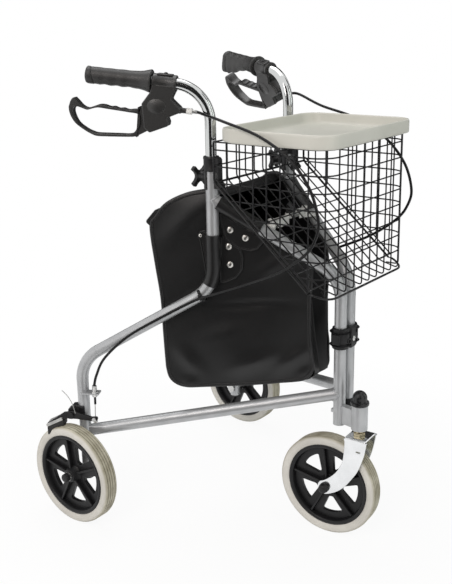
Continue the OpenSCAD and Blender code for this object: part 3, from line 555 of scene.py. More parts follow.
# Caster: a bent plated fork turns in the painted housing on a stem with a yellowed zinc nut under it; a black
# flanged dome caps the stem. The fork's legs sweep back to the axle, which has black caps.
PLATED = make_surface("bright plating", (0.78, 0.79, 0.80), (0.88, 0.89, 0.90), 0.13, 0.06, metal=1.0, patch=30,
                      grain=1200, bump=0.03)
BRASS = make_surface("yellow zinc nut", (0.40, 0.34, 0.22), (0.56, 0.49, 0.34), 0.3, metal=1.0)
GLOSS_BLACK = make_surface("glossy black cap", (0.006, 0.006, 0.007), (0.010, 0.010, 0.011), 0.27, 0.06)
STEM, CASTER_YAW = (262.56, -22.4), 4.3
BRIDGE_Z, BRIDGE_R = 205, 5
FORK_IN, FORK_T = 20.5, 3
FORK_LEG = [(16, 203), (17.6, 196), (18, 182), (21, 157), (27, 143), (34, 131), (45, 119), (57, 109.5), (66, 105),
            (70, 95), (66, 86), (57, 82), (46, 85), (30, 94), (16, 107), (4, 123), (-7, 140), (-14, 157),
            (-19, 173), (-21.4, 184), (-23.6, 198), (-22, 203)]
CAP_FLANGE = [(0, 262.4), (15.6, 262.4), (16.7, 263.4), (16.9, 266), (16.4, 268.4), (15.2, 269.2), (13.4, 269.6),
              (13, 270.4)]
SIDE_PLANE = Matrix(((-1, 0, 0, 0), (0, 0, 1, 0), (0, 1, 0, 0), (0, 0, 0, 1)))
caster_axes = MM @ shift(*STEM, 0) @ turn("Z", CASTER_YAW)

fork_line = smooth_line(FORK_LEG, 4, True)
slot_line = round_corners([(-13.5, 180), (-4.5, 180), (-4.5, 182.6), (-13.5, 182.6)], 1.2)
legs = [moved(slab(fork_line, y, y + FORK_T, 0.9, [slot_line] if y < 0 else []), SIDE_PLANE)
        for y in (-FORK_IN - FORK_T, FORK_IN)]
fold = [(FORK_IN + FORK_T - BRIDGE_R + BRIDGE_R * math.sin(a), BRIDGE_Z - BRIDGE_R + BRIDGE_R * math.cos(a))
        for a in np.linspace(0, math.pi / 2, 8)]
over = [(-y, z) for y, z in fold[::-1]] + fold
under = [(y * (FORK_IN / (FORK_IN + FORK_T)), z - FORK_T) for y, z in over]
bridge = loft([[(x, y, z) for y, z in over + under[::-1]] for x in (-17, 22)])
stem = lathe([(0, BRIDGE_Z - 2), (8, BRIDGE_Z - 2), (8, 268), (0, 268)])
add_piece("", "caster_yoke", legs + [bridge, stem], PLATED, caster_axes, "caster", "bright_chrome", "caster_fork")
washer = lathe([(0, 211), (9, 211), (9.4, 212), (9.4, 214), (8, 215.4), (0, 215.4)])
add_piece("", "stem_nut", [moved(hexagon(11.4, 6), shift(0, 0, BRIDGE_Z + 0.1)), washer], BRASS, caster_axes,
          "caster", "steel")
dome = [(13 * math.cos(a), 276 + 13 * math.sin(a)) for a in np.linspace(0, math.pi / 2, 12)]
add_piece("", "stem_cap", [lathe(CAP_FLANGE + dome)], GLOSS_BLACK, MM @ shift(*STEM, 0),
          "right_frame", "black_plastic", "caster_cap")
dress(ZINC, "front_axle")


# Wheels: moulded black rims with webbed spokes and rounded windows, and solid grey beige tyres with
# grooves round the tread, soiled where they roll, and with painted shade darkening the grooves. Each turns on an
# axle, with black caps at its ends.
RIM_BLACK = make_surface("black rim", (0.007, 0.007, 0.008), (0.012, 0.012, 0.013), 0.38, 0.1, grain=1100,
                         bump=0.12, spec=0.3)
WHEEL_R, RIM_R = 95, 79
REAR_WHEEL = (-207.65, -272.11, WHEEL_R)
SPOKES, SPOKE_TURN = 5, 26
WINDOW = (27, 58, 9, 21)
GROOVES = (-8.8, -2.8, 2.8, 8.8)
TYRE_SIDE = [(RIM_R + 0.05, -13), (80.5, -14.4), (83, -15.3), (86, -15.8), (88.5, -16), (90.6, -15.7),
             (92.4, -14.9), (93.7, -13.7), (94.6, -12.4), (WHEEL_R, -11)]
RIM_BARREL = [(RIM_R, -13), (RIM_R, 13), (77.4, 14.3), (74.5, 14.4), (72.4, 13.4), (71.2, 11.5), (70, 4), (70, -4),
              (71.2, -11.5), (72.4, -13.4), (74.5, -14.4), (77.4, -14.3), (RIM_R, -13)]
BOLT = [(0, 31), (5.5, 31), (7.2, 30.3), (8, 28.6), (8.2, 20), (8.2, 18.4), (0, 18.4)]
AXLE_CAP = [(0, 35), (4, 35), (6.6, 34.2), (8, 32.4), (8.4, 29), (9.2, 27.4), (9.4, 24), (0, 24)]


def make_tyre_rubber():
    """Pale sidewall, a browner soiled tread and painted shade of dark brown in the grooves, told apart by the
    tyre's own tread and groove marks.
    """
    surface = make_surface("tyre rubber", (0.57, 0.555, 0.51), (0.71, 0.695, 0.645), 0.62, 0.12, patch=14,
                           grain=700, bump=0.2)
    tree = surface.node_tree
    colour = tree.nodes["mottle"].outputs["Color"]
    dirt = add_node(tree, "ShaderNodeGroup", {
        "Scale": 34, "Low": (0.29, 0.265, 0.19, 1), "High": (0.52, 0.495, 0.395, 1)}, node_tree=MOTTLE)
    # The groove tone is painted shade: the grooves are darkened where shade would fall in them.
    for mark, tone in (("tread", dirt.outputs["Color"]), ("groove", (0.17, 0.15, 0.11, 1))):
        read = add_node(tree, "ShaderNodeAttribute", attribute_name=mark)
        colour = mix_colours(tree, read.outputs["Fac"], colour, tone)
    feed(tree, tree.nodes["Principled BSDF"], {"Base Color": colour})
    return surface


def tyre_profile():
    tread = []
    for g in GROOVES:
        tread += [(95, g - 1), (94.8, g - 0.75), (93.5, g - 0.5), (93.5, g + 0.5), (94.8, g + 0.75), (95, g + 1)]
    return TYRE_SIDE + tread + [(r, -w) for r, w in TYRE_SIDE[::-1]]


def window(i):
    low_r, high_r, low_half, high_half = WINDOW
    middle = math.radians(SPOKE_TURN + (i + 0.5) * 360 / SPOKES)
    corner = [(high_r, a) for a in np.linspace(-high_half, high_half, 7)] + [(low_r, low_half), (low_r, -low_half)]
    return round_corners([(r * math.cos(middle + math.radians(a)), r * math.sin(middle + math.radians(a)))
                          for r, a in corner], 5)


def make_wheel(end, to_frame, half, bore):
    """Tyre and rim of one wheel in its own axes, with the hub's half width and bore."""
    tyre = piece(end + "_wheel_rubber", [lathe(tyre_profile(), 128)], TYRE, to_frame)
    place = np.array([(to_frame.inverted() @ v.co)[:] for v in tyre.data.vertices])
    reach = np.hypot(place[:, 0], place[:, 1])
    off_groove = np.min([abs(abs(place[:, 2]) - abs(g)) for g in GROOVES], 0)
    # tread marks the rolling face for its dirt; groove marks where the painted groove shade goes.
    marks = {"tread": np.clip((reach - 91.5) / 3, 0, 1),
             "groove": (reach < 94.2) & (off_groove < 0.7) & (reach > 93)}
    for mark, value in marks.items():
        tyre.data.attributes.new(mark, "FLOAT", "POINT").data.foreach_set("value", value.astype(np.float32))
    fit(tyre, end + "_wheel", "tyre_grey", end + "_tyre")
    flank = [(bore, half), (11, half), (12.4, half - 0.8), (13, half - 3), (14.6, 11), (16.5, 6), (18, 4.5)]
    hub = [(r, -z) for r, z in flank] + flank[::-1] + [(bore, -half)]
    shapes = [lathe(RIM_BARREL, 96), lathe(hub, 48),
              slab(circle(71, 96), -4, 4, 0.5, [circle(16, 48)] + [window(i) for i in range(SPOKES)])]
    rib = round_corners([(12, -13), (40, -11.4), (71, -11), (71, 11), (40, 11.4), (12, 13)], 2)
    for i in range(SPOKES):
        upright = turn("Z", SPOKE_TURN + i * 360 / SPOKES) @ turn("X", 90)
        shapes.append(moved(slab(rib, -2.1, 2.1, 1.2), upright))
    add_piece(end, "wheel_spokes", shapes, RIM_BLACK, to_frame, "wheel", "rim_plastic", "rim")


TYRE = make_tyre_rubber()
front_wheel = caster_axes @ shift(-56, 0, WHEEL_R) @ turn("X", 90)
make_wheel("front", front_wheel, FORK_IN - 3.4, 4.05)
for side, to_frame in SIDES.items():
    axes = (MIRROR if side == "left" else Matrix()) @ MM @ shift(*REAR_WHEEL) @ turn("X", 90)
    make_wheel(side, axes, 18, 5.05)
    head = moved(hexagon(6.4, 3.4), shift(0, 0, 25.5))
    add_piece(side, "wheel_bolt", [lathe(BOLT, 32), head], BLACK, axes, "frame", "steel")
    dress(ZINC, side + "_axle")
    plug = lathe([(0, 0), (9.8, 0), (11, 1.2), (11.2, 3), (0, 3)], 32)
    add_piece(side, "leg_plug", [plug], DARK_PLUG, to_frame @ shift(-LEG, 0, 73), "frame", "black_plastic")
for k, way in enumerate((1, -1)):
    end_cap = lathe([(r, z * way) for r, z in AXLE_CAP], 32)
    add_piece("", f"front_axle_cap_{k}", [end_cap], BLACK, front_wheel, "caster", "black_plastic")


# Collars and knobs: a black moulded collar crowns each upright, open in front below its band, with a hook for
# the basket and a boss behind for the clamp knob, a square armed cross that presses on the handle stem.
KNOB_Z, KNOB_YAW, BAND_FOOT = 660, 10, 672
KNOB_HUB = [(0, 14), (4, 14), (4, 17.3), (8, 17.3), (8.2, 18), (8.4, 26), (9.2, 26.6), (9.2, 34), (8, 35),
            (6, 35.2), (5, 34.4), (0, 34.4)]
COLLAR_LIP = [(9.9, 697.1), (13.0, 697.1), (13.9, 696), (14.1, 693), (13.6, 691.6), (13.55, 691),
              (13.55, BAND_FOOT + 4), (14.1, BAND_FOOT + 3), (14.1, BAND_FOOT + 0.6), (13.4, BAND_FOOT - 0.1),
              (11.3, BAND_FOOT - 0.1), (11.3, 697)]
dress(BLACK, *both("collar"))


def cross(core, reach, half, n=4):
    """Outline of a knob with square arms joined by hollow flanks."""
    arm = [(0.62 * reach, -half * 0.86), (reach, -half), (reach, half), (0.62 * reach, half * 0.86)]
    line = []
    for k in range(n):
        a = math.radians(45 + k * 360 / n)
        for along, aside in arm:
            line.append((along * math.cos(a) - aside * math.sin(a), along * math.sin(a) + aside * math.cos(a)))
        gap = a + math.pi / n
        line.append((core * math.cos(gap), core * math.sin(gap)))
    return line


for side, to_frame in SIDES.items():
    at_upright = to_frame @ shift(-UPRIGHT, 0, 0) @ turn("Z", -SPLAY_DEG)
    knob_axes = at_upright @ shift(0, 0, KNOB_Z) @ turn("Z", -KNOB_YAW) @ turn("Y", -90)
    arms = slab(round_corners(cross(8.5, 22, 4.5), 2), 26.4, 34.4, 1.4)
    add_piece(side, "star_knob", [arms, lathe(KNOB_HUB, 40)], BLACK, knob_axes, "knob", "black_plastic", "knob")
    add_piece(side, "collar_lip", [lathe(COLLAR_LIP, 48)], BLACK, at_upright, "frame", "black_plastic")
    boss = lathe([(4.6, 9), (9.3, 12.5), (9.3, 16), (8.6, 17.1), (4.6, 17.1)], 40)
    add_piece(side, "knob_boss", [boss], BLACK, knob_axes, "frame", "black_plastic")


# Handles: chromed tube bent back into a level grip, sliding in the upright; a soft black rubber grip with
# a flared neck, shallow finger waves and a palm rest drawn out inward is pushed on the end.
CHROME = make_surface("chrome", (0.58, 0.59, 0.585), (0.66, 0.67, 0.665), 0.06, 0.03, metal=1.0, patch=12)
RUBBER = make_surface("grip rubber", (0.015, 0.0147, 0.0144), (0.024, 0.0235, 0.023), 0.42, 0.1, grain=2200,
                      pebble=0.7, bump=0.35, spec=0.5)
HANDLE_BEND, BEND_R, BEND_Z = 83.8, 65, 754.18
HANDLE_FOOT, HANDLE_NECK, HANDLE_END = 560, 750, (-204.8, 0, 834.75)
GRIP_NECK = [(9.6, 99), (18.4, 99), (19.3, 99.7), (19.6, 101), (19.2, 103), (18.3, 106), (17.1, 110), (16, 115),
             (15.1, 121), (14.6, 127)]
GRIP_TIP = [(14.4, 198), (14.3, 200.4), (13.4, 201), (13.4, 201.8), (14.5, 202.4), (14.9, 204), (15, 208.6),
            (14.6, 211.2), (13.4, 213), (11, 214), (0, 214)]
FINGER_PITCH, PALM_REACH = 21, 13.5
PALM_TILT = {"right": -4, "left": 66}


def ramp(value, low, high):
    t = max(0, min(1, (value - low) / (high - low)))
    return t * t * (3 - 2 * t)


def grip_point(x, y, z, tilt):
    """A point of the turned grip, waved below and drawn out inward to a palm rest towards the end."""
    r = max(math.hypot(x, y), 1)
    wave = math.cos((z - 128) * 2 * math.pi / FINGER_PITCH) * ramp(z, 122, 130) * ramp(z, 199, 193)
    grow = 1 + wave * (0.2 + 0.45 * max(0, -x / r)) / r
    aim = Vector((-math.sin(tilt), math.cos(tilt)))
    flat = Vector((x, y)) * grow
    along, aside = flat.dot(aim), flat.x * aim.y - flat.y * aim.x
    rest = ramp(z, 136, 192)
    share = max(0, along / r)
    out = along + PALM_REACH * rest * share ** 1.6 * min(1, r / 13)
    aside *= 1 - 0.34 * rest * share
    lean = 0.24 * x * ramp(z, 186, 198) * ramp(z, 214, 204)
    return out * aim.x + aside * aim.y, out * aim.y - aside * aim.x, z + lean


handle_run = [(0, 0, z) for z in np.linspace(HANDLE_FOOT, HANDLE_NECK, 8)]
handle_run += [(-BEND_R + BEND_R * math.cos(a), 0, BEND_Z + BEND_R * math.sin(a))
               for a in np.radians(np.linspace(0, HANDLE_BEND, 25))] + [HANDLE_END]
grip_line = GRIP_NECK + [(14.3, x) for x in range(132, 196, 3)] + GRIP_TIP
for side, to_frame in SIDES.items():
    stand = to_frame @ shift(-UPRIGHT, 0, GRIP_SET[side][2]) @ turn("Z", -GRIP_SET[side][0])
    bar = tubes(side + "_handle_bar", [placed(stand, handle_run)], 0.0095, CHROME, 48)
    fit(bar, side + "_handle", "bright_chrome", side + "_handle_tube")
    verts, faces = lathe(grip_line, 72)
    shaped = [grip_point(*v, math.radians(PALM_TILT[side])) for v in verts]
    add_piece(side, "hand_grip", [(shaped, faces)], RUBBER, grip_axes(side, False) @ turn("Y", -90),
              "handle", "grip_rubber", "grip", crease=55)


# Brake levers: a two cheeked charcoal housing clamps round the handle tube, with an oval pivot boss, a screwed
# clamp on top and a white adjuster nut in front; a charcoal loop lever swings between the cheeks.
CHARCOAL = make_surface("charcoal lever", (0.018, 0.0177, 0.0174), (0.028, 0.0275, 0.027), 0.31, 0.1, grain=1300,
                        bump=0.25, spec=0.58)
WHITE_NYLON = make_surface("white nylon", (0.72, 0.72, 0.70), (0.82, 0.82, 0.80), 0.4, grain=900)
PIVOT = (86.2, -39.5)
NOSE_LINE = [(64, -71), (63.5, -64), (67, -57.5), (48, -48), (43, -42.5), (47.5, -37), (62.5, -25.5), (57, -12),
             (57, -3)]
CHEEK = [(97, -3), (99.5, -18), (112.5, -38), (109, -60), (106, -78.5), (95.5, -85.5)] + NOSE_LINE
CORE = [(72, -3), (72, -70)] + NOSE_LINE
BARREL = [(9.6, 56), (13.2, 56), (14, 56.8), (14, 61), (13.5, 62), (13.5, 90), (14.1, 91), (14.1, 96), (13.2, 97),
          (9.6, 97), (9.6, 56)]
BOSS = [(0, 14), (9.6, 13.8), (10.1, 13.3), (10.1, 12.6), (9.4, 12.6), (9.4, 13.25), (8.6, 13.25),
        (8.6, 13), (0, 13)]
ARM = [(86, -28), (100, -35), (114, -43), (118, -58), (116, -72), (122, -88), (119, -95), (101, -84), (84, -51)]
LOOP_OUT = [(115.5, -45), (121, -47), (129, -48), (137, -49.4), (145, -47.6), (153, -48.8), (161, -46.6),
            (169, -47.6), (178, -45.6), (188, -46), (198, -50), (208, -54), (217, -51), (225, -44), (233, -38.6),
            (238.4, -44), (241, -52), (242, -59), (238, -72), (228, -85), (212, -95), (200, -100.6), (189, -103.5),
            (172, -102.6), (150, -100.6), (130, -98.6), (121, -97), (115.5, -92.5)]
LOOP_IN = [(118.5, -60), (124, -58), (134.5, -57.6), (145, -57), (156, -56.6), (170, -56), (184, -55.2),
           (191, -55.6), (200, -58.6), (208, -61), (218, -58.6), (226, -57), (231, -60), (230, -68), (222, -81),
           (207.5, -89.6), (198, -93), (188, -94.6), (168, -93.2), (148, -91.6), (133, -90.4), (124, -86),
           (117.5, -74)]


def inset_line(line, depth):
    p = np.array(line, float)
    d = np.roll(p, -1, 0) - np.roll(p, 1, 0)
    d /= np.linalg.norm(d, axis=1)[:, None]
    side = np.stack([-d[:, 1], d[:, 0]], 1)
    return p + side * depth * (1 if twice_area(p) > 0 else -1)


def wave_line(points, depth):
    return inset_line(smooth_line(points, 3, True), depth)


def plate(line, r, low, high, bevel, holes=()):
    """Slab of an outline in the side plane, with its corners rounded to r."""
    return moved(slab(round_corners(line, r), low, high, bevel, holes), SIDE_PLANE)


for side in SIDES:
    axes = grip_axes(side)
    on_nose = shift(0, 0, NOSE_Z) @ turn("Y", -90)
    shapes = [plate(CHEEK, 4, low, high, 2.2) for low, high in ((-13, -6.4), (6.4, 13))]
    shapes += [plate(CORE, 3, -6.6, 6.6, 0.4), moved(lathe(BARREL, 48), turn("Y", -90))]
    for way in (-1, 1):
        shapes.append(moved(lathe([(r, way * z) for r, z in BOSS], 48),
                            SIDE_PLANE @ shift(*PIVOT, 0) @ Matrix.Diagonal((1.6, 1.22, 1, 1))))
    pad = round_corners([(63, -8), (90, -8), (90, 8), (63, 8)], 3)
    shapes.append(slab([(-x, y) for x, y in pad], 11.5, 15, 1.5))
    shapes.append(moved(lathe([(0, 36), (4.5, 36), (4.6, 44), (6, 47), (6, 50), (0, 50)], 24), on_nose))
    add_piece(side, "lever_housing", shapes, CHARCOAL, axes, "handle", "black_plastic", "brake_housing")
    screw = moved(screw_head(3.4, 2.4), shift(-76, 0, 15))
    add_piece(side, "clamp_screw", [screw], BLACK, axes, "handle", "black_plastic")
    ribs = []
    for k in range(4):
        ribs += [(r, z + 2.2 * k) for r, z in ((5.3, 26.4), (5.3, 27.6), (4.5, 27.9), (4.5, 28.3))]
    adjuster = moved(lathe([(0, 26)] + ribs + [(5.2, 35.2), (4.6, 36), (0, 36)], 28), on_nose)
    add_piece(side, "adjuster", [adjuster], WHITE_NYLON, axes, "handle", "black_plastic")
    ferrule = moved(lathe([(0, 18), (2.9, 18), (3.2, 18.6), (3.2, 26), (0, 26)], 24),
                    shift(0, 0, -43.3) @ turn("Y", -90))
    add_piece(side, "cable_ferrule", [ferrule], ZINC, axes, "handle", "steel")
    verts, faces = slab(wave_line(LOOP_OUT, 1.8), -9, 9, 1.5, [wave_line(LOOP_IN, -2.2)])
    loop = [(d, z, y * (1 + 0.22 * ramp(d, 190, 236))) for d, z, y in verts], faces
    add_piece(side, "loop_lever", [plate(ARM, 5, -6, 6, 1.2), moved(loop, SIDE_PLANE)], CHARCOAL, axes,
              "lever", "lever_plastic", "lever")


# Leg brakes: a black bracket is clamped on each leg and carries a blackened rocker on a bolt. The cable stop in
# front of the leg has a threaded barrel; its wire pulls the rocker's nose up, so the rear block meets the tyre.
STEEL = make_surface("wing steel", (0.42, 0.42, 0.41), (0.58, 0.58, 0.56), 0.36, 0.14, metal=0.9, patch=50,
                     grain=1600, bump=0.2)
BLOCK = make_surface("brake block", (0.014, 0.014, 0.014), (0.024, 0.024, 0.024), 0.7, grain=600, bump=0.5)
BRACKET = [(476, 198), (502, 198), (509, 204), (509, 217), (497, 226), (476, 225)]
BRACKET_LUG = [(492, 219), (505, 213), (508, 216), (500, 225), (493, 226)]
CLASP_IN = TUBE_R + 0.1
CLASP = [(CLASP_IN, 198), (13.6, 198), (14.6, 199), (14.6, 202), (13.8, 203), (13.8, 220), (14.6, 221),
         (14.6, 224), (13.6, 225), (CLASP_IN, 225)]
ROCKER_PIN = (500, 209)
ROCKER = [(449, 201), (458, 199), (490, 202), (510, 202), (548, 184), (550, 189), (514, 214), (496, 217),
          (460, 207), (449, 208)]
SHOE = [(516, 199.4), (548, 184), (550, 189), (518, 205.4)]
BLOCK_LINE = [(515, 199), (548, 183.2), (547.6, 166.4), (542, 171.6), (535, 176.9), (528, 181.2), (521, 184.6),
              (515, 187)]
PINCH_BOLT = [(0, -25.6), (3.4, -25.6), (3.8, -25), (3.8, -22.6), (2.2, -22.4), (2.2, -13), (0, -13)]
STOP_AT, THREADS, THREAD_PITCH = (-454, -12, 0), 9, 2.3
THREAD_STEP = [(4.7, 246.6), (4.7, 247.2), (4.25, 247.7), (4.25, 248.3)]
WIRE_BOOT = [(-454, -12.2, 246), (-454, -12.3, 238), (-454, -13, 231)]
TIE_BAND = [(-12.6, -12), (12.6, -12), (12.6, 10), (6, 12.6), (-6, 12.6), (-12.6, 10)]
TIE_LOOP = [(-6, -19), (6, -19), (6, -11), (-6, -11)]

for side, to_frame in SIDES.items():
    clasp = loft([[(r * math.cos(a) - LEG, r * math.sin(a), z) for r, z in CLASP]
                  for a in np.radians(np.linspace(72, 288, 30))])
    pin = moved(lathe([(0, -23.6), (4, -23.6), (4, -12), (0, -12)], 24), SIDE_PLANE @ shift(*ROCKER_PIN, 0))
    shapes = [clasp, plate(BRACKET, 4, -12.2, 3.6, 2), pin, plate(BRACKET_LUG, 2, -14.4, 5.4, 1)]
    add_piece(side, "brake_mount", shapes, BLACK, to_frame, "frame", "black_plastic", "brake_bracket")
    head = moved(hexagon(6.6, 2.9), SIDE_PLANE @ shift(*ROCKER_PIN, -24.6))
    add_piece(side, "pivot_bolt", [head], BLACK, to_frame, "frame", "steel")
    thread = [(4.25, 246)]
    for k in range(THREADS):
        thread += [(r, z + THREAD_PITCH * k) for r, z in THREAD_STEP]
    barrel = lathe(thread + [(4.3, 267.4), (3.4, 268.1), (1.6, 268.1)], 28)
    lock_nut = slab(circle(6.6, 6), 253.1, 256.6, 0.5, [circle(4.2, 24)])
    add_piece(side, "cable_stop", [moved(s, shift(*STOP_AT)) for s in (barrel, lock_nut)], ZINC, to_frame,
              "frame", "steel")
    rocker = plate(ROCKER, 3.5, -21.2, -15.2, 1, [circle(4.1, 24, *ROCKER_PIN)])
    add_piece(side, "brake_rocker", [rocker], BLACK, to_frame, "brake_arm", "steel", "brake_arm")
    add_piece(side, "brake_wing", [plate(SHOE, 1.6, -24, 2, 0.8)], STEEL, to_frame, "brake_arm", "steel")
    pinch = [moved(hexagon(4.4, 5), shift(-454, -17.4, 196.4)),
             moved(lathe(PINCH_BOLT, 20), SIDE_PLANE @ shift(455, 204, 0))]
    add_piece(side, "wire_pinch", pinch, ZINC, to_frame, "brake_arm", "steel")
    add_piece(side, "tyre_block", [plate(BLOCK_LINE, 1.5, -23, -1, 1.2)], BLOCK, to_frame,
              "brake_arm", "pad_rubber", "brake_pad")
    boot = placed(to_frame, smooth_line(WIRE_BOOT, 4))
    fit(tubes(side + "_wire_boot", [boot], 0.0022, BLACK, 12), side + "_frame", "black_plastic")
    tie = [slab(round_corners(TIE_BAND, 9, 8), -3, 3, 0.9, [circle(TUBE_R + 0.2, 40)]),
           slab(round_corners(TIE_LOOP, 2.5), -3, 3, 0.9)]
    tie_axes = to_frame @ shift(-247, 0, 448) @ turn("Y", 59.9)
    add_piece(side, "cable_tie", tie, BLACK, tie_axes, "frame", "black_plastic")


# Folding brace: two bright pressed bars reach across from the upper tubes and lap at a rivet in the middle.
# A black thumb lever there locks them straight; each bar turns on a post welded inside its tube.
BRIGHT = make_surface("bright zinc bar", (0.70, 0.70, 0.68), (0.80, 0.80, 0.78), 0.3, 0.1, metal=0.25, patch=45)
BRACE_PIN, BRACE_Z, BRACE_T = (97.62, 54.75), 576.95, 4
FLANGE_OUT, FLANGE_H, FLANGE_T = 5.7, 11, 0.8
dress(BRIGHT, *both("brace", "brace_post"))
dress(BLACK, "brace_lever")
for side, mirror in (("right", Matrix()), ("left", MIRROR)):
    high = BRACE_Z + (BRACE_T + 0.4) * (side == "left") + 0.6
    near, far = -BRACE_PIN[1] + 11, -8 if side == "right" else -26
    lips = []
    for x in (BRACE_PIN[0] - FLANGE_OUT, BRACE_PIN[0] + FLANGE_OUT):
        lip = [(x - FLANGE_T, near), (x + FLANGE_T, near), (x + FLANGE_T, far), (x - FLANGE_T, far)]
        lips.append(slab(round_corners(lip, 0.5), high - FLANGE_H, high, 0.4))
    add_piece(side, "brace_flange", lips, BRIGHT, mirror @ MM, "brace", "steel")


# Bag: two black vinyl sides hang inside the tubes from sleeves and studded flaps, with bound and stitched
# edges; a slack strip runs between them down the front, under, up the back and over the top in folds.
VINYL = make_surface("black vinyl", (0.0062, 0.0062, 0.0064), (0.0100, 0.0100, 0.0104), 0.34, 0.12, patch=16,
                     grain=1500, pebble=0.85, bump=0.35, depth=0.0004, spec=0.48)
# The strip's vinyl is the sides' vinyl made darker and less glossy: its darker tone is painted shade on the front
# strip.
SHADED_STRIP_VINYL = make_surface("strip vinyl with painted shade", (0.003, 0.003, 0.0032), (0.006, 0.006, 0.0063), 0.40, 0.1, grain=1500,
                     pebble=0.85, bump=0.3, spec=0.25)
THREAD = make_surface("black thread", (0.03, 0.03, 0.031), (0.05, 0.05, 0.051), 0.6, grain=3000, bump=0.4)
NICKEL = make_surface("nickel stud", (0.66, 0.64, 0.60), (0.80, 0.78, 0.74), 0.30, 0.08, metal=1.0)
PANEL_IN, PANEL_T, SLEEVE_R = 11.5, 2.4, 13.3
PANEL_LINE = [(47, 318), (50, 344), (53, 370), (54, 430), (57, 521), (130, 565), (204, 609), (216, 626),
              (226, 634), (237, 636), (274, 629), (310, 612), (331, 588), (341, 569), (334, 500), (326, 436),
              (323.5, 370), (321.4, 320), (320, 299), (315, 281), (303, 269.5), (285, 264.4), (255, 265.6),
              (163, 274), (110, 280.6), (82, 284), (66, 287.6), (54, 296.5), (48.4, 306)]
FLAPS = [(8.2, [(140, 554), (216, 600), (212, 575), (206, 551), (196, 539), (181, 532), (160, 528.5), (147, 532.5),
                (138, 544)]),
         (8.7, [(213, 556), (190, 545), (177, 530), (173, 517), (175, 493), (187, 478), (205, 470), (216, 468.5)]),
         (8.7, [(237, 566), (250, 562), (254, 554), (250, 545), (243, 500), (240, 472), (237, 470)]),
         (13, [(318, 604), (331, 598), (349, 577), (341, 570), (330, 566)])]
HEM = [(-1, 1.2), (-0.5, -0.3), (0.9, -1.2), (5.4, -1.2), (6.4, -0.5), (6.4, 2.9), (5.4, 3.6), (0.9, 3.6),
       (-0.5, 2.7), (-1, 1.2)]
STUDS = [(196, 566, 6.3), (169, 552, 6.3), (199, 536, 6.3), (197, 503, 6.3), (249, 555, 3.4)]
SWELLS = [(272, 584, -0.73, 62, 20, 4.4), (120, 503, -0.53, 46, 14, 2.8), (84, 329, -0.57, 36, 13, 4.6),
          (277, 318, 0.81, 32, 13, 4.2), (150, 322, -0.37, 52, 15, 4.2), (276, 273, 0, 16, 10, 2.6),
          (62, 303, -0.5, 13, 10, 3), (215, 372, -0.3, 50, 17, 2.4)]
STRIP_LINE = [(57, 500), (54, 430), (53, 370), (47, 306), (53, 293), (72, 287), (163, 277), (285, 266), (307, 275),
              (316, 287), (319, 303), (325, 436), (333, 500), (339, 560), (331, 587), (310, 611), (274, 626),
              (240, 630), (225, 624)]
BEND_AT, BEND_TUBE_R = (293, 501.16), 68


def top_turn(z):
    """How far the bag's upper edge is turned in at a height."""
    return 7 * max(0, (z - 600) / 36) ** 2


def panel_y(s, z):
    """How far the panel lies inside the frame: slack below the sloping tube, a fold, and drawn corners."""
    y = PANEL_IN - 6.5 * math.exp(-((s - 180) / 85) ** 2 - ((z - 345) / 50) ** 2)
    y += 2.8 * math.exp(-((z - 427 - 5 * math.sin(s / 60)) / 7) ** 2) * math.exp(-((s - 160) / 75) ** 2)
    for cs, cz, slant, length, width, swell in SWELLS:
        along = (s - cs) * math.cos(slant) + (z - cz) * math.sin(slant)
        off = (z - cz) * math.cos(slant) - (s - cs) * math.sin(slant)
        y -= swell * math.exp(-(along / length) ** 2 - (off / width) ** 2)
    return y + top_turn(z)


def inside(p, line):
    x, y = p
    hit = False
    for (x0, y0), (x1, y1) in zip(line, line[1:] + line[:1]):
        if (y0 > y) != (y1 > y) and x < (x1 - x0) * (y - y0) / (y1 - y0) + x0:
            hit = not hit
    return hit


def cloth(line, depth, thick, pitch=7):
    """Sheet that fills an outline of distances back and heights, at the depth given for each point."""
    rim = [tuple(p) for p in line]
    core = [tuple(p) for p in inset_line(line, pitch * 0.8)]
    low, high = np.min(rim, 0), np.max(rim, 0)
    inner = [(x, y) for x in np.arange(low[0], high[0], pitch) for y in np.arange(low[1], high[1], pitch)
             if inside((x, y), core)]
    points = [Vector(p) for p in rim + inner]
    edges = [(i, (i + 1) % len(rim)) for i in range(len(rim))]
    flat, _, tris, *_ = delaunay_2d_cdt(points, edges, [], 0, 1e-4)
    tris = [t for t in tris if inside(tuple(sum((flat[i] for i in t), Vector((0, 0))) / 3), rim)]
    n = len(flat)
    verts = [(-p[0], depth(*p) + t, p[1]) for t in (0, thick) for p in flat]
    faces = [tuple(t) for t in tris] + [tuple(i + n for i in t[::-1]) for t in tris]
    uses = {}
    for t in tris:
        for a, b in zip(t, (*t[1:], t[0])):
            uses[frozenset((a, b))] = None if frozenset((a, b)) in uses else (a, b)
    faces += [(a, b, b + n, a + n) for a, b in filter(None, uses.values())]
    return verts, faces


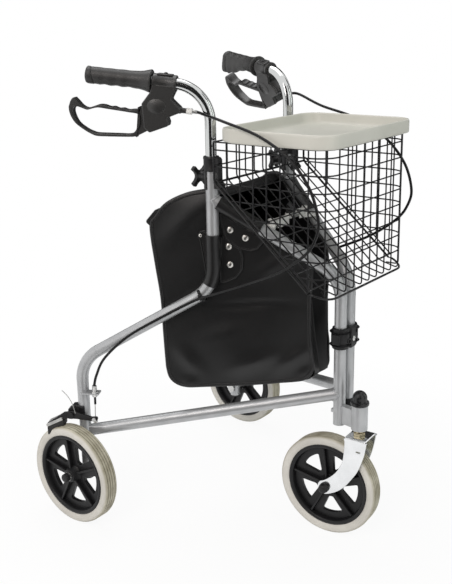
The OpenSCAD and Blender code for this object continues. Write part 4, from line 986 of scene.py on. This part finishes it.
def make_stitch_tree():
    tree = bpy.data.node_groups.new("stitches along a path", "GeometryNodeTree")
    ids = {n: tree_socket(tree, n, k) for n, k in (
        ("Path", "Geometry"), ("Pitch", "Float"), ("Length", "Float"), ("Width", "Float"),
        ("Surface", "Material"))}
    tree_socket(tree, "Stitches", "Geometry", "OUTPUT")
    given = add_node(tree, "NodeGroupInput").outputs
    spaced = add_node(tree, "GeometryNodeResampleCurve", {"Curve": given["Path"], "Length": given["Pitch"]},
                      mode="LENGTH")
    bead = add_node(tree, "GeometryNodeMeshUVSphere", {"Segments": 6, "Rings": 4, "Radius": 0.5})
    size = add_node(tree, "ShaderNodeCombineXYZ", {"X": given["Width"], "Y": given["Width"], "Z": given["Length"]})
    along = add_node(tree, "GeometryNodeInputTangent").outputs["Tangent"]
    aim = add_node(tree, "FunctionNodeAlignRotationToVector", {"Vector": along}, axis="Z")
    sew = add_node(tree, "GeometryNodeInstanceOnPoints", {
        "Points": spaced.outputs["Curve"], "Instance": bead.outputs["Mesh"], "Rotation": aim.outputs["Rotation"],
        "Scale": size.outputs["Vector"]})
    real = add_node(tree, "GeometryNodeRealizeInstances", {"Geometry": sew.outputs["Instances"]})
    paint = add_node(tree, "GeometryNodeSetMaterial", {
        "Geometry": real.outputs["Geometry"], "Material": given["Surface"]})
    add_node(tree, "NodeGroupOutput", {"Stitches": paint.outputs["Geometry"]})
    return tree, ids


STITCH_TREE, STITCH_IN = make_stitch_tree()


def stitches(name, paths, surface):
    return grown(path_object(name, paths, True), STITCH_TREE, {
        STITCH_IN["Pitch"]: 0.0042, STITCH_IN["Length"]: 0.0030, STITCH_IN["Width"]: 0.0009,
        STITCH_IN["Surface"]: surface}, 80)


def pucker(k, a):
    return 0.25 * math.sin(3 * a + 0.9 * k) * math.sin(1.7 * k + a)


def wrap(path, r):
    """Sleeve of cloth round a tube that follows path in the side plane, with turned ends."""
    rings = []
    last = len(path) - 1
    hems = {0: [TUBE_R + 0.15, r + 0.5], last: [r + 0.5, TUBE_R + 0.15]}
    for k, p in enumerate(path):
        t = (Vector(path[min(k + 1, last)]) - Vector(path[max(k - 1, 0)])).normalized()
        over = Vector((-t.z, 0, t.x))
        for wall in hems.get(k, [r]):
            ring = []
            for a in whole_turn(40):
                out = wall + pucker(k, a)
                ring.append(Vector(p) + over * out * math.cos(a) + Vector((0, out * math.sin(a), 0)))
            rings.append(ring)
    return loft(rings, caps=False)


def flap_line(line, depth, y, to_frame):
    """The outline of a flap, inset by depth, at a distance y inside the frame."""
    return placed(to_frame, [(-s, y, z) for s, z in inset_line(line, depth)])


edge = [tuple(p) for p in smooth_line(PANEL_LINE, 6, True)]
flaps = [(y, round_corners(line, 5)) for y, line in FLAPS]
down = [(-UPRIGHT, 0, z) for z in np.linspace(559, 501.2, 9)]
down += [(-BEND_AT[0] + BEND_TUBE_R * math.cos(a), 0, BEND_AT[1] - BEND_TUBE_R * math.sin(a))
         for a in np.radians(np.linspace(5, 29, 6))]
up = [(-t * math.cos(bow_slope), 0, BOW_FOOT_Z + t * math.sin(bow_slope)) for t in np.linspace(164, 250, 11)]
for side, to_frame in SIDES.items():
    shapes = [cloth(edge, panel_y, PANEL_T), wrap(down, SLEEVE_R), wrap(up, SLEEVE_R)]
    shapes += [moved(slab(line, y, y + 2.8, 1.2), SIDE_PLANE) for y, line in flaps]
    panel = add_piece(side, "bag_side", shapes, VINYL, to_frame, "frame", "bag_vinyl", "bag_panel", crease=60)
    hem = [[(-s, panel_y(s, z) + out, z) for s, z in inset_line(edge, depth)] for depth, out in HEM]
    binding = add_piece(side, "bag_binding", [loft(hem, caps=False)], VINYL, to_frame,
                        "frame", "bag_vinyl", crease=60)
    seams = [placed(to_frame, [(-s, panel_y(s, z) + off, z) for s, z in inset_line(edge, 4.4)])
             for off in (-1.3, 3.7)]
    seams += [flap_line(line, 3.4, y - 0.2, to_frame) for y, line in flaps]
    welts = [flap_line(line, 0.9, y + 0.4, to_frame) for y, line in flaps]
    welt = tubes(side + "_bag_welts", welts, 0.0014, VINYL, 10, True)
    fit(welt, side + "_frame", "bag_vinyl")
    thread = stitches(side + "_bag_stitches", seams, THREAD)
    fit(thread, side + "_frame", "bag_vinyl")
    domes = []
    for s, z, r in STUDS:
        crown = [(r * math.sin(a), 0.45 * r * math.cos(a)) for a in np.radians(np.linspace(0, 84, 8))] + [(r, 0)]
        domes.append(moved(lathe([(x, 8.3 - h) for x, h in crown], 32), SIDE_PLANE @ shift(s, z, 0)))
    studs = add_piece(side, "bag_domes", domes, NICKEL, to_frame,
                      "frame", "bright_chrome", "bag_studs", crease=60)


def strip_rows():
    """Rows across the slack strip, from the top of its front round under, up the back and over the top."""
    rows = []
    for s, z in smooth_line(STRIP_LINE, 8):
        right_edge = RIGHT @ Vector((-s, PANEL_IN + 2.6 + top_turn(z), z))
        front = ramp(s, 75, 55)
        roof = ramp(z, 570, 610)
        rear = ramp(s, 285, 310) * (1 - roof)
        lift = max(0, min(1, (z - 290) / 150))
        row = []
        for v in np.linspace(0, 1, 25):
            p = right_edge.lerp(MIRROR @ right_edge, v)
            mid = 1 - abs(2 * v - 1)
            arch = math.sin(math.pi * v)
            p.x -= 0.001 * front * (3 + 14 * lift) * mid
            p.x -= 0.001 * rear * (7 * arch + 1.5 * math.sin(5 * math.pi * v))
            p.z -= 0.001 * (1 - front) * (1 - rear) * (9 * arch + 1.2 * math.sin(s / 21 + 6 * v))
            p.z -= 0.001 * roof * arch * (2.4 * math.sin(s / 5.5 + 2.5 * v) + 2 * math.sin(s / 9 - 4 * v))
            row.append(p)
        rows.append(row)
    return rows


# The strip is dressed in the darker vinyl, whose tone is painted shade.
strip = piece("bag_strip", [loft(strip_rows(), closed=False, caps=False)], SHADED_STRIP_VINYL, Matrix(), 60)
thicken = strip.modifiers.new("thickness", "SOLIDIFY")
thicken.thickness = 0.0018
thicken.offset = 0
strip.data = plain_mesh(strip)
strip.modifiers.clear()
fit(strip, "right_frame", "bag_vinyl", "bag_gusset")
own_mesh(strip)


# Basket: black coated wire, welded where the wires cross, with round front corners and a sloping bottom.
# It hooks over the ledges of both collars; the bottom hoop and the sloping edges, which are doubled, are thicker.
COATED = make_surface("coated wire", (0.006, 0.006, 0.007), (0.010, 0.010, 0.011), 0.3, 0.1, grain=800, bump=0.1,
                      spec=0.35)
REAR, FOOT, FRONT = 39.41, 226.41, 262.4
LOW, KNEE, TOP, SAG = 491, 656, 724, 9
HALF, CORNER = 140.5, 36
WIRE_R, EDGE_R, WELD_STEP, WIRE_BEND = 1.3, 1.95, 2.2, 7
HOOP_Z = np.linspace(515.5, 711.5, 8)
BAR_Y = np.linspace(-106, 106, 9)
BAR_X = np.linspace(REAR, FRONT - CORNER, 8)[1:]


def bent(points, r, n=5):
    """Open wire line with its corners bent to radius r."""
    line = [Vector(points[0])]
    for a, b, c in zip(points, points[1:], points[2:]):
        a, b, c = Vector(a), Vector(b), Vector(c)
        u, v = (a - b), (c - b)
        cut = min(r, 0.45 * u.length, 0.45 * v.length)
        u.normalize(), v.normalize()
        line += [(b + u * cut) * (1 - t) ** 2 + b * 2 * t * (1 - t) + (b + v * cut) * t * t
                 for t in np.linspace(0, 1, n)]
    return line + [Vector(points[-1])]


def slope_z(x):
    return LOW if x > FOOT else KNEE - (x - REAR) * (KNEE - LOW) / (FOOT - REAR)


def slope_x(z):
    return REAR if z > KNEE else REAR + (KNEE - z) * (FOOT - REAR) / (KNEE - LOW)


def hoop(z, start=None, step=0.0):
    """Wire round the sides and the front at height z, inside the upright wires by step."""
    x0 = slope_x(z) if start is None else start
    c, h, f = CORNER - step, HALF - step, FRONT - step
    arc = [(f - c + c * math.sin(a), h - c + c * math.cos(a)) for a in np.linspace(0, math.pi / 2, 9)]
    right = [(x0, -h)] + [(x, -y) for x, y in arc]
    return [Vector((x, y, z)) for x, y in right + [(x, -y) for x, y in right[::-1]]]


def crossbar(z):
    return [Vector((REAR, way * HALF, z)) for way in (-1, 1)]


floor_z = LOW - SAG + WELD_STEP
wires = [hoop(z, None, WELD_STEP) for z in HOOP_Z] + [crossbar(KNEE + 29)]
for y in BAR_Y:
    wires.append(bent([(FRONT, y, TOP), (FRONT, y, floor_z), (FOOT, y, LOW + WELD_STEP),
                       (REAR + WELD_STEP, y, KNEE + WELD_STEP), (REAR + WELD_STEP, y, TOP)], WIRE_BEND))
for x in BAR_X:
    z = slope_z(x) + 2 * WELD_STEP
    wires.append(bent([(x, -HALF, TOP), (x, -HALF, z), (x, HALF, z), (x, HALF, TOP)], WIRE_BEND))
lean = CORNER * math.sqrt(0.5)
for way in (-1, 1):
    x, y = FRONT - CORNER + lean, way * (HALF - CORNER + lean)
    wires.append(bent([(x, y, TOP), (x, y, floor_z), (x - 16, y - way * 16, floor_z + 5)], WIRE_BEND))
    wires.append([Vector((REAR + 3, way * HALF, KNEE + 7)), Vector((FOOT + 5, way * HALF, LOW + 6))])
rim = [p + Vector((0, 0, 1.1)) for p in hoop(TOP)]
wires.append(rim + [rim[0]])
edges = [[p - Vector((0, 0, SAG * ramp(p.x, FOOT, FRONT))) for p in hoop(LOW, FOOT)]]
for way in (-1, 1):
    edges.append(bent([(REAR, way * HALF, TOP), (REAR, way * HALF, KNEE), (FOOT, way * HALF, LOW)], 8))
edges.append(crossbar(KNEE))
net = tubes("basket_net", [placed(MM, line) for line in wires], WIRE_R / 1000, COATED, 8)
fit(net, "basket", "basket_wire", "basket_front_wall", "basket_right_wall", "basket_left_wall",
    "basket_rear_wall", "basket_slope", "basket_floor")
edge_wires = tubes("basket_edges", [placed(MM, line) for line in edges], EDGE_R / 1000, COATED, 10)
fit(edge_wires, "basket", "basket_wire")


# Tray: one pale moulding with a rounded rim and a shallow recess, set loose on the basket's top rim.
# Its skin is slightly mottled and has a fine moulded grain.
TRAY_SKIN = make_surface("tray moulding", (0.505, 0.505, 0.455), (0.57, 0.565, 0.515), 0.42, 0.1, patch=9,
                         grain=500, bump=0.08)
TRAY_REAR, TRAY_FRONT, TRAY_HALF, TRAY_CORNER = 46, 269, 148, 36
TRAY_WALL = [(60, 726.6, 0), (3.2, 726.6, 0), (2.8, 726.9, 0.7), (2.5, 727, 1), (1.4, 727, 1.1), (0.5, 727.6, 1),
             (0.1, 730.5, 0.6), (0, 744.6, 0), (0.25, 746.4, 0), (0.9, 748, 0), (1.9, 748.9, 0), (2.9, 749.2, 0),
             (3.8, 748.8, 0), (4.5, 747.8, 0), (4.9, 746.2, 0), (5.9, 736, 0), (6.8, 733, 0), (8.6, 730.8, 0),
             (11.5, 729.9, 0), (16, 729.8, 0), (60, 729.8, 0)]


def tray_ring(depth, z, drop):
    """Rounded outline at a depth inside the tray's edge; its skirt hangs lower ahead of the rear corners."""
    r = max(TRAY_CORNER - depth, 4)
    back, fore, wide = TRAY_REAR + depth + r, TRAY_FRONT - depth - r, TRAY_HALF - depth - r
    ring = []
    for k, (x, y) in enumerate(((fore, wide), (back, wide), (back, -wide), (fore, -wide))):
        for a in np.linspace(k * math.pi / 2, (k + 1) * math.pi / 2, 12):
            at = x + r * math.cos(a)
            ring.append((at, y + r * math.sin(a), z - drop * ramp(at, TRAY_REAR + 24, TRAY_REAR + 36)))
    return ring


add_piece("", "basket_tray", [loft([tray_ring(*step) for step in TRAY_WALL])], TRAY_SKIN, MM,
          "tray", "tray_plastic", "tray", crease=50)


# Studio: a pale floor that fades into a white surround, a broad key lamp on the right, a weak one ahead and one
# above. Dark cards, seen by reflections alone, stand for the dim room that gives metal and vinyl their edges.
FLOOR = make_surface("pale floor", (0.86, 0.86, 0.86), (0.88, 0.88, 0.88), 0.7, grain=40, bump=0.02)
CARD = make_surface("dark card", (0.03, 0.03, 0.03), (0.04, 0.04, 0.04), 0.9, spec=0.0)
CARDS = [(130, 76, 1.7, 1.7, 2.6), (-62, 52, 1.7, 1.7, 2.6), (14, 22, 1.7, 1.7, 2.6), (62, 26, 0.8, 1.7, 2.6),
         (-73, 38, 0.62, 1.5, 0.42)]
AMBIENT = 0.5
AIM = Vector((0, 0, 0.45))
floor = piece("floor", [([(-9, -9, 0), (9, -9, 0), (9, 9, 0), (-9, 9, 0)], [(0, 1, 2, 3)])], FLOOR)


def add_math(tree, kind, a, b):
    return add_node(tree, "ShaderNodeMath", {0: a, 1: b}, operation=kind).outputs["Value"]


def white_surround():
    """The floor turns from lit near the walker to plain white further out, for the eye and for metal."""
    tree = FLOOR.node_tree
    place = add_node(tree, "ShaderNodeTexCoord").outputs["Object"]
    reach = add_node(tree, "ShaderNodeVectorMath", {0: place}, operation="LENGTH")
    fade = add_node(tree, "ShaderNodeMapRange", {
        "Value": reach.outputs["Value"], "From Min": 0.35, "From Max": 0.85, "To Min": 0.92, "To Max": 1.0},
        interpolation_type="SMOOTHSTEP")
    ray = add_node(tree, "ShaderNodeLightPath").outputs
    glow = add_node(tree, "ShaderNodeEmission")
    seen = add_math(tree, "MAXIMUM", ray["Is Camera Ray"], ray["Is Glossy Ray"])
    mix = add_node(tree, "ShaderNodeMixShader", {
        0: add_math(tree, "MULTIPLY", seen, fade.outputs["Result"]),
        1: tree.nodes["Principled BSDF"].outputs["BSDF"], 2: glow.outputs["Emission"]})
    feed(tree, tree.nodes["Material Output"], {"Surface": mix.outputs["Shader"]})


def white_sky():
    """White wherever the eye or a reflection meets the sky, and dimmer as light."""
    world = bpy.data.worlds.new("studio")
    world.use_nodes = True
    scene.world = world
    tree = world.node_tree
    ray = add_node(tree, "ShaderNodeLightPath").outputs
    seen = ray["Is Camera Ray"]
    for kind in ("Is Glossy Ray", "Is Transmission Ray"):
        seen = add_math(tree, "MAXIMUM", seen, ray[kind])
    lit = add_math(tree, "MULTIPLY", seen, 1 - AMBIENT)
    feed(tree, tree.nodes["Background"], {"Color": (1, 1, 1, 1), "Strength": add_math(tree, "ADD", lit, AMBIENT)})


def lamp(name, place, watts, size, tint=(1, 1, 1)):
    data = bpy.data.lights.new(name, "AREA")
    data.energy = watts
    data.size = size
    data.color = tint
    obj = add_object(name, data)
    obj.location = place
    obj.rotation_euler = (AIM - Vector(place)).to_track_quat("-Z", "Y").to_euler()


white_surround()
white_sky()
lamp("key lamp", (0.5, -2.4, 2.2), 40, 1.4, (1, 0.93, 0.89))
lamp("side lamp", (2.2, 0.6, 1.4), 10, 1.4, (0.9, 1, 0.92))
lamp("top lamp", (-0.6, 0.3, 2.6), 18, 1.6)
for k, (bearing, wide, near, away, top) in enumerate(CARDS):
    ends = [math.radians(bearing + way * wide / 2) for way in (-1, 1)]
    foot, head = [[(r * math.cos(a), r * math.sin(a), z) for a in ends] for r, z in ((near, 0.02), (away, top))]
    card = piece(f"card_{k}", [(foot + head[::-1], [(0, 1, 2, 3)])], CARD)
    card.visible_camera = card.visible_diffuse = card.visible_shadow = False

bpy.context.view_layer.update()
